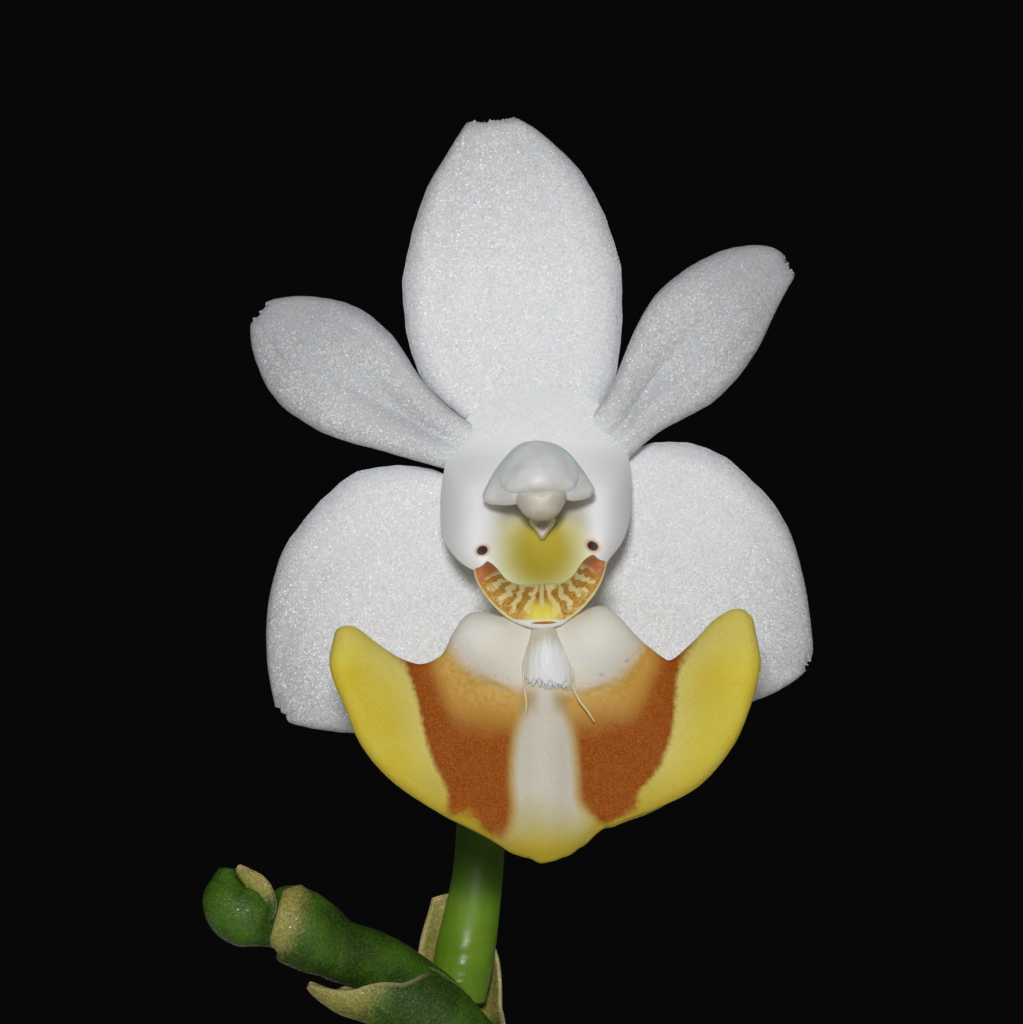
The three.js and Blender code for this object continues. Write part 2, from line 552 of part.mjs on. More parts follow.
const TEPALS = {
  dorsal_sepal: tepal(DORSAL_SEPAL, { base: 0.7, lean: -0.6, turnBack: 0.2 }),
  left_petal: tepal(LEFT_PETAL, { base: -0.35, lean: -0.35, turnBack: 0.2, channel: 0.3 }),
  right_petal: tepal(RIGHT_PETAL, { base: -0.35, lean: -0.35, turnBack: 0.2, channel: 0.3 }),
  left_lateral_sepal: tepal(LEFT_LATERAL_SEPAL, { base: 0.65, lean: 0.5, turnBack: 0.25 }),
  right_lateral_sepal: tepal(RIGHT_LATERAL_SEPAL, { base: 0.65, lean: 0.5, turnBack: 0.25 }),
};

place(plant, "pot", potGeometry(), CLAY);
place(plant, "bark_mix", mixGeometry(), BARK);
place(plant, "stem", stemGeometry(), STALK_GREEN);
LEAVES.forEach((leaf, i) => place(plant, `leaf_${i + 1}`, leafGeometry(leaf), LEAF_GREEN));
ROOTS.forEach((root, i) => {
  place(plant, `root_${i + 1}`, stem(rootPoints(root), 8, 3 * root.line.length), ROOT_SILVER);
});
place(plant, "flower_stalk", stalkGeometry(), STALK_GREEN);
place(flower, "pedicel", stem(PEDICEL, 10, 20), STALK_GREEN);
for (const [name, geometry] of Object.entries(TEPALS)) place(flower, name, geometry, SEPAL_WHITE);
place(flower, "column", columnGeometry(), COLUMN_WHITE);
place(flower, "anther_cap", antherCapGeometry(), COLUMN_WHITE);
place(flower, "lip", lipGeometry(), LIP_YELLOW);

export default plant;
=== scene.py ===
"""A miniature moth orchid in a clay pot, dressed piece by piece over its frame.

The file is laid out as an add-on: sizes and colours, one operator for each kind of piece, and a panel.
Lengths are in millimetres in the tables and in metres in the meshes.
"""

import math
import random

import bpy
import numpy as np
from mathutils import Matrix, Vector


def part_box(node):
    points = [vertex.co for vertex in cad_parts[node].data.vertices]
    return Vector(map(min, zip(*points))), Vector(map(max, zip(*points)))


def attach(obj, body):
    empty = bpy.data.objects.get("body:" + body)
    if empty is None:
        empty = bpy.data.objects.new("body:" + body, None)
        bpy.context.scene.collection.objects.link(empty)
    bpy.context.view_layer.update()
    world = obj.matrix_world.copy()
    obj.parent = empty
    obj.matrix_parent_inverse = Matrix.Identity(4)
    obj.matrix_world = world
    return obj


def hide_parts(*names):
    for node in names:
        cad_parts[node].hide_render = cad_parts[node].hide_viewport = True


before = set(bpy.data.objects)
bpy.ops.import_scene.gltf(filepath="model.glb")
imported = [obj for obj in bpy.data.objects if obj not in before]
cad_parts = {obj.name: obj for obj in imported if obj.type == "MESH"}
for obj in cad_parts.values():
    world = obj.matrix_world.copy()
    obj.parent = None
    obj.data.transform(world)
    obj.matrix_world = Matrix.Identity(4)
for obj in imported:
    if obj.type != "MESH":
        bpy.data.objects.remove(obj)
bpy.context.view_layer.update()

bl_info = {
    "name": "Potted Orchid",
    "version": (1, 0, 0),
    "blender": (4, 5, 0),
    "location": "View3D > Sidebar > Orchid",
    "description": "Builds a miniature moth orchid in a clay pot, piece by piece",
    "category": "Add Mesh",
}

MM = 0.001
FLOWER = np.array((4.0, -22.0, 122.0))  # the middle of the flower's face, just above its column
PLANT = np.zeros(3)

# Each sepal and petal: its depth, its greyness, and its two edges from base to tip as [right, up] from
# FLOWER. Its depth is where its base stands, how far its tip leans back, how far its sides turn back and
# how deep its middle channel is. Its greyness is how grey it is all over, and how much more at its tip:
# thinner flesh, with painted shade where the tip turns away from the light.
TEPALS = {
    "dorsal_sepal": (
        (0.15, 0.25, 0.5, 0.0),
        (0.08, 0.6),
        [(-1.3, 1.7), (-2.1, 2.3), (-3.1, 3.1), (-3.7, 4.75), (-3.65, 6.5), (-3.2, 8.2), (-2.45, 9.53),
         (-1.9, 10.27)],
        [(1.05, 1.7), (1.5, 2.3), (1.98, 3.1), (2.28, 5.1), (2.08, 6.9), (1.38, 8.6), (0.2, 9.87),
         (-0.74, 10.36)],
    ),
    "left_petal": (
        (-0.35, 0.5, 0.3, 0.4),
        (0.68, 0.5),
        [(-0.75, 1.7), (-1.85, 1.95), (-3.1, 3.02), (-3.7, 3.97), (-4.3, 4.77), (-5.2, 5.33),
         (-6.3, 5.53), (-7.4, 5.33)],
        [(-1.1, 0.55), (-2.45, 0.87), (-3.8, 1.25), (-5.2, 1.6), (-6.47, 2.13), (-7.33, 2.93),
         (-7.77, 3.95), (-7.78, 4.85)],
    ),
    "right_petal": (
        (-0.35, 0.5, 0.3, 0.4),
        (0.68, 0.5),
        [(0.9, 0.55), (2.25, 0.98), (2.95, 1.78), (4.1, 2.32), (5.1, 3.02), (5.88, 4.07), (6.38, 5.25),
         (6.87, 6.18)],
        [(0.6, 1.7), (1.55, 2.3), (2.22, 3.5), (2.74, 5.0), (3.73, 6.13), (4.85, 6.73), (6.0, 6.95),
         (6.62, 6.58)],
    ),
    "left_lateral_sepal": (
        (0.5, 0.5, 0.5, 0.0),
        (0.08, 0.85),
        [(-0.25, -1.5), (-0.25, -3.0), (-1.1, -4.5), (-2.5, -5.5), (-3.75, -6.13), (-4.85, -6.35),
         (-5.8, -6.28), (-6.83, -5.98)],
        [(-1.4, 0.0), (-2.4, 0.63), (-3.55, 0.95), (-4.95, 0.82), (-6.3, -0.33), (-7.2, -1.8),
         (-7.47, -3.6), (-7.13, -5.6)],
    ),
    "right_lateral_sepal": (
        (0.5, 0.5, 0.5, 0.0),
        (0.08, 0.85),
        [(1.2, 0.0), (2.15, 1.03), (3.25, 1.63), (4.6, 1.42), (5.97, 0.42), (6.9, -1.0), (7.25, -2.7),
         (7.37, -4.3)],
        [(0.2, -1.5), (0.3, -2.95), (1.2, -4.2), (2.7, -5.15), (4.2, -5.6), (5.5, -5.6), (6.45, -5.22),
         (7.2, -4.58)],
    ),
}

# The lip's middle lobe from horn to horn: its lower edge, then its upper edge
LIP_EDGES = (
    [(-5.42, -4.0), (-5.33, -4.7), (-5.03, -5.5), (-4.63, -6.55), (-3.92, -7.47), (-2.7, -8.4),
     (-1.47, -9.03), (-0.3, -9.6), (0.55, -9.6), (1.67, -8.87), (3.05, -8.33), (4.15, -7.65), (5.0, -6.6),
     (5.4, -5.6), (5.62, -4.65), (5.62, -3.9)],
    [(-5.35, -3.66), (-5.08, -3.55), (-4.68, -3.8), (-3.87, -4.3), (-3.15, -4.44), (-2.5, -4.08),
     (-1.85, -3.12), (-0.6, -3.3), (0.75, -3.25), (1.65, -2.94), (2.55, -3.72), (3.5, -4.32),
     (4.22, -3.83), (4.82, -3.24), (5.27, -3.07), (5.55, -3.42)],
)
# Fields of colour on it: its brown sides, where the brown is full rust, and the cream humps between them
SIDES = (
    [(-3.95, -3.7), (-4.14, -4.19), (-3.76, -4.51), (-3.53, -4.98), (-3.36, -5.59), (-3.2, -6.33),
     (-2.97, -7.03), (-2.69, -7.54), (-2.5, -7.96), (-2.35, -8.32), (-1.8, -8.42), (-1.3, -8.8),
     (-0.84, -8.95), (-0.66, -8.5), (-0.68, -7.6), (-0.62, -6.7), (-0.5, -6.1), (-0.28, -5.5),
     (-0.1, -4.9), (-0.1, -3.4), (-2.0, -2.6)],
    [(4.1, -3.3), (4.33, -3.75), (4.05, -4.24), (3.87, -4.56), (3.8, -5.2), (3.68, -6.15), (3.4, -6.95),
     (3.1, -7.45), (2.7, -7.9), (2.5, -8.2), (2.1, -8.42), (1.6, -8.6), (1.2, -8.42), (0.97, -8.1),
     (0.9, -7.5), (0.84, -6.9), (0.74, -6.2), (0.55, -5.6), (0.38, -5.1), (0.35, -3.4), (2.2, -2.4)],
)
RUST = (
    [(-4.3, -3.95), (-3.3, -5.0), (-2.75, -5.6), (-2.1, -6.0), (-1.3, -6.15), (-0.4, -6.4), (-0.4, -9.4),
     (-2.6, -9.4), (-4.6, -6.5)],
    [(4.5, -3.45), (3.5, -4.9), (2.9, -5.55), (2.3, -5.95), (1.5, -6.1), (0.7, -6.4), (0.7, -9.2),
     (2.6, -9.4), (4.8, -6.5)],
)
HUMPS = [(-2.3, -3.2), (-2.32, -3.7), (-2.12, -4.02), (-1.75, -4.35), (-1.2, -4.66), (-0.6, -4.95),
         (0.1, -5.05), (0.9, -5.0), (1.45, -4.82), (1.95, -4.55), (2.35, -4.15), (2.55, -3.75),
         (2.6, -3.2), (1.6, -2.4), (-1.4, -2.4)]

# The two side lobes as one band, from the left tip round to the right: its outer edge, then its inner edge
BAND_EDGES = (
    [(-1.68, -1.84), (-1.66, -2.12), (-1.45, -2.5), (-1.14, -2.88), (-0.78, -3.18), (-0.32, -3.38),
     (0.05, -3.42), (0.45, -3.36), (0.82, -3.12), (1.24, -2.72), (1.5, -2.34), (1.66, -1.95),
     (1.67, -1.64)],
    [(-1.5, -1.72), (-1.22, -1.96), (-1.02, -2.2), (-0.8, -2.32), (-0.5, -2.38), (-0.2, -2.36),
     (0.05, -2.34), (0.3, -2.32), (0.55, -2.34), (0.85, -2.2), (1.05, -2.0), (1.2, -1.78), (1.5, -1.55)],
)
# The callus, down its left and its right edge, and its loose threads as [right, back, up]
CALLUS_EDGES = (
    [(-0.2, -3.4), (-0.3, -3.7), (-0.42, -4.15), (-0.46, -4.55), (-0.42, -4.8)],
    [(0.42, -3.4), (0.56, -3.7), (0.76, -4.1), (0.86, -4.6), (0.85, -4.95)],
)
THREADS = (
    [(-0.44, -4.9, -4.35), (-0.45, -5.05, -4.75), (-0.42, -5.1, -5.05), (-0.37, -5.05, -5.45),
     (-0.4, -4.95, -5.8)],
    [(0.84, -4.9, -4.2), (0.87, -5.05, -4.75), (0.92, -5.15, -5.1), (1.07, -5.15, -5.4),
     (1.3, -5.05, -5.7), (1.46, -4.9, -5.96)],
    [(0.78, -4.9, -4.5), (0.8, -5.0, -4.85), (0.87, -5.05, -5.08)],
)

# Closed outlines of the column's parts, clockwise from the top
CUP = [(-0.1, 3.0), (1.2, 2.85), (2.1, 2.1), (2.42, 1.1), (2.47, 0.1), (2.42, -0.6), (2.22, -1.15),
       (1.87, -1.6), (1.62, -2.0), (1.25, -2.5), (0.7, -2.9), (0.05, -3.05), (-0.65, -2.85), (-1.2, -2.4),
       (-1.62, -2.0), (-2.1, -1.72), (-2.44, -1.36), (-2.63, -0.98), (-2.7, -0.35), (-2.66, 0.45),
       (-2.4, 1.5), (-1.6, 2.6)]
HOOD = [(-0.15, 1.58), (0.3, 1.52), (0.68, 1.33), (1.03, 0.97), (1.3, 0.58), (1.47, 0.26), (1.34, 0.07),
        (0.75, -0.02), (0.6, 0.12), (0.3, 0.2), (-0.1, 0.18), (-0.45, 0.12), (-0.64, -0.1),
        (-1.15, -0.14), (-1.44, -0.08), (-1.55, 0.08), (-1.33, 0.6), (-1.12, 0.93), (-0.83, 1.26),
        (-0.52, 1.48)]
CAP = [(-0.15, 1.6), (0.34, 1.53), (0.74, 1.3), (1.02, 0.92), (1.02, 0.5), (0.86, 0.27), (0.5, 0.2),
       (0.05, 0.16), (-0.5, 0.18), (-0.9, 0.22), (-1.07, 0.42), (-1.1, 0.82), (-0.88, 1.22), (-0.56, 1.5)]
NOSE = [(0.0, 0.45), (0.62, 0.42), (0.78, 0.25), (0.66, -0.1), (0.45, -0.42), (0.05, -0.56),
        (-0.32, -0.48), (-0.58, -0.2), (-0.8, 0.2), (-0.6, 0.42)]
NOTCH = [(0.07, -0.35), (0.4, -0.45), (0.42, -0.58), (0.25, -0.86), (0.06, -1.09), (-0.14, -0.82),
         (-0.28, -0.62), (-0.25, -0.45)]
# The middle of its yellow hollow, and its two dark dots as [right, up, turn]
HOLLOW = (0.05, -1.42)
EYES = ((-1.56, -1.36, 0.4), (1.42, -1.24, -0.5))

# Stems as [right, back, up, radius] from FLOWER: the column's neck and spine, the lip's claw and the pedicel
NECK = [(-0.1, -1.9, 0.5, 0.9), (-0.1, -0.8, 0.5, 0.9), (-0.1, 0.3, 0.5, 0.88), (-0.1, 1.4, 0.5, 0.84)]
SPINE = [(0, -1.2, 0.6, 0.8), (0, -2.2, 0.5, 0.75), (0, -3.2, 0.4, 0.65)]
CLAW = [(0.05, -4.45, -3.6, 0.5), (0.05, -4.05, -3.6, 0.42), (0.05, -3.6, -3.55, 0.35)]
PEDICEL = [(-0.1, 1.75, 0.5, 0.8), (-0.1, 2.6, 0.4, 0.82), (-0.4, 3.8, -1.0, 0.85),
           (-1.0, 4.8, -3.8, 0.75), (-1.5, 5.0, -7, 0.66), (-1.7, 4.8, -10.3, 0.7),
           (-1.97, 4.6, -12.0, 0.8), (-2.1, 4.6, -12.7, 0.83), (-2.2, 4.6, -13.4, 0.8),
           (-2.2, 4.6, -13.95, 0.7)]
# The flower stalk: its lower part in the plant's frame, then its end from FLOWER
STALK_FOOT = [(0.6, -5.7, 53.4, 1.3), (0.5, -7.4, 61, 1.2), (-0.4, -10.2, 72, 1.1),
              (-0.5, -13.4, 84, 1.05), (0.7, -16.2, 95, 1.0)]
STALK_END = [(-0.9, 3.6, -17.5, 1.1), (-1.6, 2.9, -16.0, 1.2), (-2.5, 1.9, -14.8, 1.2),
             (-3.2, 1.0, -13.8, 1.12), (-3.95, 0.4, -13.0, 0.92), (-4.7, -0.1, -12.5, 0.85),
             (-5.5, -0.55, -12.2, 0.86), (-6.2, -0.9, -11.7, 0.93), (-6.85, -1.15, -11.4, 0.95),
             (-7.35, -1.3, -11.45, 0.66), (-7.75, -1.4, -11.3, 0.9), (-8.2, -1.55, -11.05, 0.9),
             (-8.45, -1.6, -10.7, 0.72), (-8.5, -1.6, -10.3, 0.42), (-8.48, -1.6, -9.95, 0.2)]
# Bracts, the low ones in the plant's frame and the end ones from FLOWER: a line from foot to tip, the way
# the width lies, half widths and folds from foot to tip, and how much has dried from the tip
LOW_BRACTS = (
    (
        [(-0.6, -9.4, 68), (-0.6, -11.9, 71.5), (-1.0, -13.4, 75.2)],
        (1, 0, 0),
        (1.0, 1.9, 0.5),
        (1.15, 0.8, 0.6),
        0.5,
    ),
    (
        [(0.6, -13.6, 88.4), (0.7, -13.5, 91.8), (0.9, -14.2, 95.2)],
        (-1, 0, 0),
        (1.0, 1.7, 0.5),
        (1.1, 0.8, 0.6),
        0.5,
    ),
)
END_BRACTS = (
    (
        [(-1.4, 4.2, -16.3), (-2.0, 5.6, -14.6), (-2.15, 5.75, -12.8), (-2.75, 5.45, -10.95)],
        (-1, 0.1, 0),
        (0.9, 1.4, 1.45, 0.25),
        (1.2, 1.3, 1.3, 0.9),
        0.75,
    ),
    (
        [(-2.9, 0.9, -15.9), (-3.6, -0.1, -14.75), (-4.6, -0.7, -14.15), (-5.5, -1.05, -13.8),
         (-6.3, -1.15, -13.2)],
        (0, -1, 0.1),
        (3.3, 3.1, 1.75, 1.05, 0.3),
        (3.1, 3.0, 1.9, 1.4, 1.0),
        0.42,
    ),
    (
        [(-5.3, -1.3, -12.05), (-5.9, -1.75, -11.75), (-6.6, -2.05, -11.45), (-7.15, -2.05, -11.3)],
        (0, 0, 1),
        (1.3, 1.5, 1.55, 1.05),
        (1.5, 1.6, 1.6, 1.5),
        0.4,
    ),
    (
        [(-7.65, -1.7, -11.6), (-7.4, -1.95, -11.0), (-7.7, -2.0, -10.4), (-8.2, -1.8, -9.95)],
        (0.5, -0.5, 0.5),
        (0.2, 0.34, 0.32, 0.08),
        (0.6, 0.6, 0.6, 0.6),
        0.6,
    ),
)

# Leaves: the way each points, its half width, and its spine as [out, up] from the stem's axis
LEAVES = {
    "leaf_1": (190, 14.5, [(5.3, 54), (6.8, 58.8), (14, 64), (28, 66.5), (44, 62.5), (58, 54)]),
    "leaf_2": (7, 15.5, [(5.3, 56), (6.8, 61.4), (14, 66.8), (30, 69.5), (47, 66), (62, 57.5)]),
    "leaf_3": (166, 13.5, [(5.2, 60), (6.4, 65), (12, 71.5), (24, 76.8), (38, 77), (50, 72.5)]),
    "leaf_4": (340, 12.5, [(5.1, 63.4), (6.2, 68), (11.6, 74.6), (23, 80.4), (35, 82), (46, 79)]),
    "leaf_5": (96, 7.5, [(0.2, 70.6), (1, 75.5), (4, 82.5), (9.5, 89), (16, 92.5)]),
}
# A leaf's half width along it: in mm at its foot, then as a share of its full half width
LEAF_FOOT = [(0, 5.2), (0.1, 4.6)]
LEAF_WIDTHS = [(0.2, 0.42), (0.36, 0.8), (0.55, 1), (0.72, 0.95), (0.86, 0.7), (0.96, 0.32), (1, 0.08)]
# Roots: the way each points, its drift to the side in degrees, its radius, and its line as [out, up]
ROOTS = {
    "root_1": (
        252,
        -14,
        1.6,
        [(4.8, 50.4), (10, 52.2), (18, 54.8), (26, 58.3), (30.6, 59), (34.4, 56.4), (35.6, 48),
         (34.6, 39), (33.4, 32)],
    ),
    "root_2": (312, 18, 1.5, [(4.8, 50.4), (11, 53.2), (18, 53.6), (22.6, 50.6), (24.2, 45), (24, 39)]),
    "root_3": (
        72,
        16,
        1.5,
        [(4.8, 50.4), (12, 53.2), (22, 57), (29.8, 59), (34, 57), (35.4, 50), (35.6, 43)],
    ),
    "root_4": (128, -12, 1.4, [(4.8, 50.2), (11, 52.8), (17, 53), (21.5, 49.6), (22.6, 43)]),
    "root_5": (22, 10, 1.5, [(4.8, 50.4), (12, 53.4), (19.5, 53.6), (23.6, 50), (24.4, 44)]),
    "root_6": (208, 12, 1.4, [(4.8, 50.2), (10, 52.8), (16, 54), (21.4, 52.4), (24, 47.5), (24.2, 41)]),
}
# Turned shapes as [radius, height]: the stem, the bed of the bark mix, and the pot with its drain holes
STEM = [(0, 42), (3.2, 42), (4, 43), (4, 60), (3.1, 69), (2.1, 70), (0, 70)]
BED = [(19.0, 4.4), (19.1, 5), (26.6, 48), (25.5, 49), (12, 49.6), (5.2, 49.4)]
POT = [(22.2, 0), (23, 0.8), (29.3, 42.4), (30.6, 43.4), (31.8, 54.9), (31.1, 56), (29, 56.3),
       (28.3, 55.6), (27.5, 53), (19.6, 4)]
DRAIN = {"radius": 3.2, "ring": 13, "count": 4}
# The bark chips: the rings they fill, the height they lie at, and the angle from each to the next
CHIP_RINGS = (5.6, 24.8)
CHIP_HEIGHT = 49.9
CHIP_TURN = 137.5
# The pot's inner wall round the chips: its radius at one height, and how much it widens for each mm up
WALL = {"radius": 26.9, "height": 49, "slope": 0.16}
# Thickness in mm of the thin pieces that have no size of their own in the panel
THICK = {"band": 0.36, "callus": 0.16, "bract": 0.22}

# Glassy cells of the flower's skin: how many to a mm, and how far each leans
CELLS = 30.0
LEAN = 0.5

# Lamps: place from FLOWER and width in mm, and watts
LAMPS = {
    "key": ((-12, -394, 66), 45, 1.12),
    "left_fill": ((-420, -260, 160), 260, 0.1),
    "right_fill": ((430, -240, 120), 260, 0.08),
    "top": ((60, 60, 420), 300, 0.4),
    "back_left": ((-300, 350, 120), 240, 0.22),
    "back_right": ((300, 350, 120), 240, 0.22),
    "back": ((0, 430, 40), 260, 0.6),
}
# The photograph: its scale, which holds in the plane FACE, its width, its middle, and FLOWER on it
PIXELS_PER_MM = 37
FACE = -2.4
PHOTO_WIDTH = 1023
PHOTO_MIDDLE = (511.5, 512)
FLOWER_PIXEL = (540, 500)
SENSOR = 36

# Colours as a screen shows them, and where each is seen
COLORS = {
    "sepal": ("Thick flesh of the sepals", (0.872, 0.877, 0.89)),
    # Painted highlight: cells lightened as if they caught the light
    "sepal_lit": ("Cells that catch the light", (0.96, 0.96, 0.96)),
    # Grey of thinner flesh, also painted shade toward the tips where they turn from the light
    "sepal_thin": ("Thin flesh at tips and in the petals", (0.6, 0.605, 0.62)),
    # Fine grain, and painted shade in the petals' channels
    "sepal_grey": ("Channels and fine grain", (0.72, 0.73, 0.745)),
    "sepal_edge": ("Thin rim", (0.62, 0.65, 0.7)),
    # Painted glints: white cells standing in for reflections of the lamp
    "sparkle": ("Cells that shine", (1.0, 1.0, 1.0)),
    "column": ("Waxy white", (0.94, 0.94, 0.945)),
    "column_warm": ("Warmer patches", (0.925, 0.925, 0.925)),
    # Painted shadow under the hood's wings; also greys the notch
    "column_shade": ("Thin flesh under the wings", (0.74, 0.725, 0.67)),
    "cap": ("Thin grey white", (0.775, 0.765, 0.75)),
    "nose": ("Beige nose under the cap", (0.77, 0.745, 0.69)),
    "nose_light": ("Paler patches", (0.82, 0.8, 0.76)),
    "nose_pit": ("Small pit in the notch", (0.52, 0.47, 0.4)),
    "hollow": ("Olive yellow middle", (0.77, 0.7, 0.24)),
    "hollow_pale": ("Pale surround", (0.87, 0.85, 0.62)),
    "eye": ("Two dark dots", (0.2, 0.07, 0.04)),
    "eye_halo": ("Ring round each dot", (0.8, 0.58, 0.22)),
    "lip": ("Clear yellow", (0.83, 0.77, 0.3)),
    "lip_deep": ("Golden edge", (0.82, 0.73, 0.22)),
    "lip_pale": ("Pale yellow beside the rust", (0.83, 0.79, 0.48)),
    "lip_tip": ("Greyer horn tips", (0.8, 0.75, 0.42)),
    "rust": ("Brown sides", (0.55, 0.25, 0.045)),
    "rust_light": ("Light grains", (0.62, 0.33, 0.085)),
    "rust_dark": ("Dark grains", (0.42, 0.16, 0.025)),
    "ochre": ("Between rust and humps", (0.75, 0.57, 0.25)),
    "ochre_pale": ("Lighter patches", (0.79, 0.65, 0.36)),
    # Olive of fine specks, also painted as a shadow line in the crease under the humps
    "crease": ("Olive line under the humps", (0.66, 0.52, 0.16)),
    "lip_low": ("Olive yellow of the lower rim", (0.71, 0.63, 0.19)),
    "keel": ("Pale stripe", (0.8, 0.78, 0.735)),
    "keel_low": ("Olive cream at its foot", (0.71, 0.67, 0.42)),
    "keel_edge": ("Soft border of the stripe", (0.72, 0.6, 0.33)),
    # Painted shadow of the callus fringe beside the keel's top
    "keel_shade": ("Grey brown beside its top", (0.6, 0.52, 0.36)),
    "hump": ("Cream", (0.875, 0.855, 0.79)),
    "hump_white": ("Whiter patches", (0.87, 0.86, 0.83)),
    "hump_blush": ("Faint specks", (0.62, 0.47, 0.48)),
    "bar": ("Golden brown", (0.76, 0.58, 0.19)),
    "bar_dark": ("Grains", (0.63, 0.42, 0.1)),
    "bar_bright": ("Orange brown near the middle", (0.68, 0.42, 0.06)),
    "bar_tip": ("Solid ends", (0.72, 0.44, 0.26)),
    "band_cream": ("Lines between the bars", (0.9, 0.84, 0.6)),
    "band_glow": ("Foot of the band", (0.9, 0.82, 0.34)),
    "callus": ("White fibres", (0.88, 0.88, 0.885)),
    "callus_beige": ("Thin sides", (0.8, 0.77, 0.69)),
    "thread": ("Loose threads", (0.86, 0.78, 0.6)),
    "stalk": ("Green", (0.225, 0.365, 0.04)),
    "stalk_dark": ("Deep green", (0.125, 0.23, 0.015)),
    # Lighter specks of the glassy skin, also painted glints on some cells
    "stalk_light": ("Glassy cells", (0.41, 0.52, 0.19)),
    "pedicel": ("Bright green", (0.34, 0.48, 0.08)),
    "pedicel_light": ("Lighter patches", (0.41, 0.54, 0.13)),
    "dry": ("Tan", (0.6, 0.59, 0.31)),
    "dry_dark": ("Brown", (0.5, 0.44, 0.2)),
    "dry_rim": ("Papery edge", (0.78, 0.68, 0.56)),
    "leaf": ("Deep green", (0.2, 0.35, 0.12)),
    "leaf_light": ("Lighter mottling", (0.28, 0.44, 0.16)),
    "leaf_dark": ("Dark flecks", (0.13, 0.25, 0.09)),
    "leaf_rib": ("Midrib and sheath", (0.47, 0.57, 0.28)),
    "leaf_edge": ("Rim", (0.38, 0.42, 0.2)),
    "root": ("Silver felt", (0.66, 0.69, 0.62)),
    "root_green": ("Where it is damp", (0.43, 0.52, 0.34)),
    "root_white": ("Felt", (0.8, 0.81, 0.76)),
    "root_tip": ("Growing tip", (0.4, 0.52, 0.16)),
    "bark": ("Brown", (0.36, 0.23, 0.15)),
    "bark_red": ("Fresh faces", (0.5, 0.3, 0.19)),
    "bark_pale": ("Weathered faces", (0.58, 0.46, 0.35)),
    "bark_dark": ("Cracks", (0.16, 0.1, 0.07)),
    "clay": ("Fired clay", (0.72, 0.43, 0.29)),
    "clay_light": ("Lighter patches", (0.79, 0.52, 0.38)),
    "clay_dark": ("Grains and pores", (0.55, 0.3, 0.2)),
    "clay_bloom": ("Mineral bloom", (0.84, 0.73, 0.64)),
    "floor": ("Pale floor", (0.86, 0.86, 0.85)),
    "backdrop": ("Studio background", (0.03, 0.03, 0.032)),
}


def seen(red, green, blue):
    """A colour as a screen shows it, turned to the linear values that shaders take."""
    return tuple(c / 12.92 if c < 0.04045 else ((c + 0.055) / 1.055) ** 2.4 for c in (red, green, blue))


def smoothstep(x, low, high):
    """0 below low and 1 above high, smoothly between."""
    t = np.clip((x - low) / (high - low), 0, 1)
    return t * t * (3 - 2 * t)


def bump(x, z, at_x, at_z, wide_x, wide_z):
    """1 at one place, falling smoothly to 0 around it."""
    return np.exp(-(((x - at_x) / wide_x) ** 2) - ((z - at_z) / wide_z) ** 2)


def along(points, t, closed=False):
    """A smooth line through all the points, read at each t from 0 to 1."""
    p = np.asarray(points, float)
    spans = len(p) if closed else len(p) - 1
    s = np.clip(np.asarray(t, float), 0, 1) * spans
    i = np.minimum(s.astype(int), spans - 1)
    w = (s - i)[..., None]
    if closed:
        a, b, c, d = (p[(i + k) % len(p)] for k in (-1, 0, 1, 2))
    else:
        held = np.vstack([2 * p[0] - p[1], p, 2 * p[-1] - p[-2]])
        a, b, c, d = (held[i + k] for k in range(4))
    gaps = (np.linalg.norm(gap, axis=-1, keepdims=True) for gap in (b - a, c - b, d - c))
    ab, bc, cd = (np.maximum(gap, 1e-6) ** 0.5 for gap in gaps)
    start = ((b - a) / ab - (c - a) / (ab + bc) + (c - b) / bc) * bc
    end = ((c - b) / bc - (d - b) / (bc + cd) + (d - c) / cd) * bc
    return b + w * start + w**2 * (3 * (c - b) - 2 * start - end) + w**3 * (2 * (b - c) + start + end)


def eased(points, t):
    """The same line with its turns evened out, as a mean over places near each t."""
    step = 0.045 * np.minimum(1, 8 * np.minimum(t, 1 - t))
    shares = {-2: 0.12, -1: 0.23, 0: 0.3, 1: 0.23, 2: 0.12}
    return sum(along(points, t + k * step) * share for k, share in shares.items())


def curve_value(pairs, t):
    """A smooth value through [place, value] pairs, read at each t."""
    line = along(pairs, np.linspace(0, 1, 200))
    return np.interp(t, line[:, 0], line[:, 1])


def distance_inside(x, z, outline):
    """How far inside a closed outline each place is, in mm, and below zero outside it."""
    rim = along(outline, np.linspace(0, 1, 161), closed=True)
    a, b = rim[:-1], rim[1:]
    at = np.stack([x, z], axis=1)[:, None]
    edge = b - a
    share = np.clip(((at - a) * edge).sum(2) / (edge**2).sum(1), 0, 1)
    gap = np.linalg.norm(at - (a + share[..., None] * edge), axis=2).min(1)
    crosses = (a[:, 1] > z[:, None]) != (b[:, 1] > z[:, None])
    reach = a[:, 0] + (z[:, None] - a[:, 1]) / np.where(edge[:, 1] == 0, 1e-9, edge[:, 1]) * edge[:, 0]
    inside = (crosses & (x[:, None] < reach)).sum(1) % 2 == 1
    return np.where(inside, gap, -gap)


def ripple(t, seed, waves=(7, 13, 29, 53)):
    """Uneven waves between about -1 and 1, the same for the same seed."""
    draw = random.Random(seed)
    return sum(np.sin(n * t * math.pi + draw.uniform(0, 6.3)) / (k + 1) for k, n in enumerate(waves)) / 2


def put_down():
    """Leaves object mode with nothing selected."""
    if bpy.context.object and bpy.context.object.mode != "OBJECT":
        bpy.ops.object.mode_set(mode="OBJECT")
    bpy.ops.object.select_all(action="DESELECT")


def corners(piece):
    """Where the corners of a mesh lie, in metres."""
    at = np.empty(len(piece.data.vertices) * 3, np.float32)
    piece.data.vertices.foreach_get("co", at)
    return at.reshape(-1, 3).astype(float)


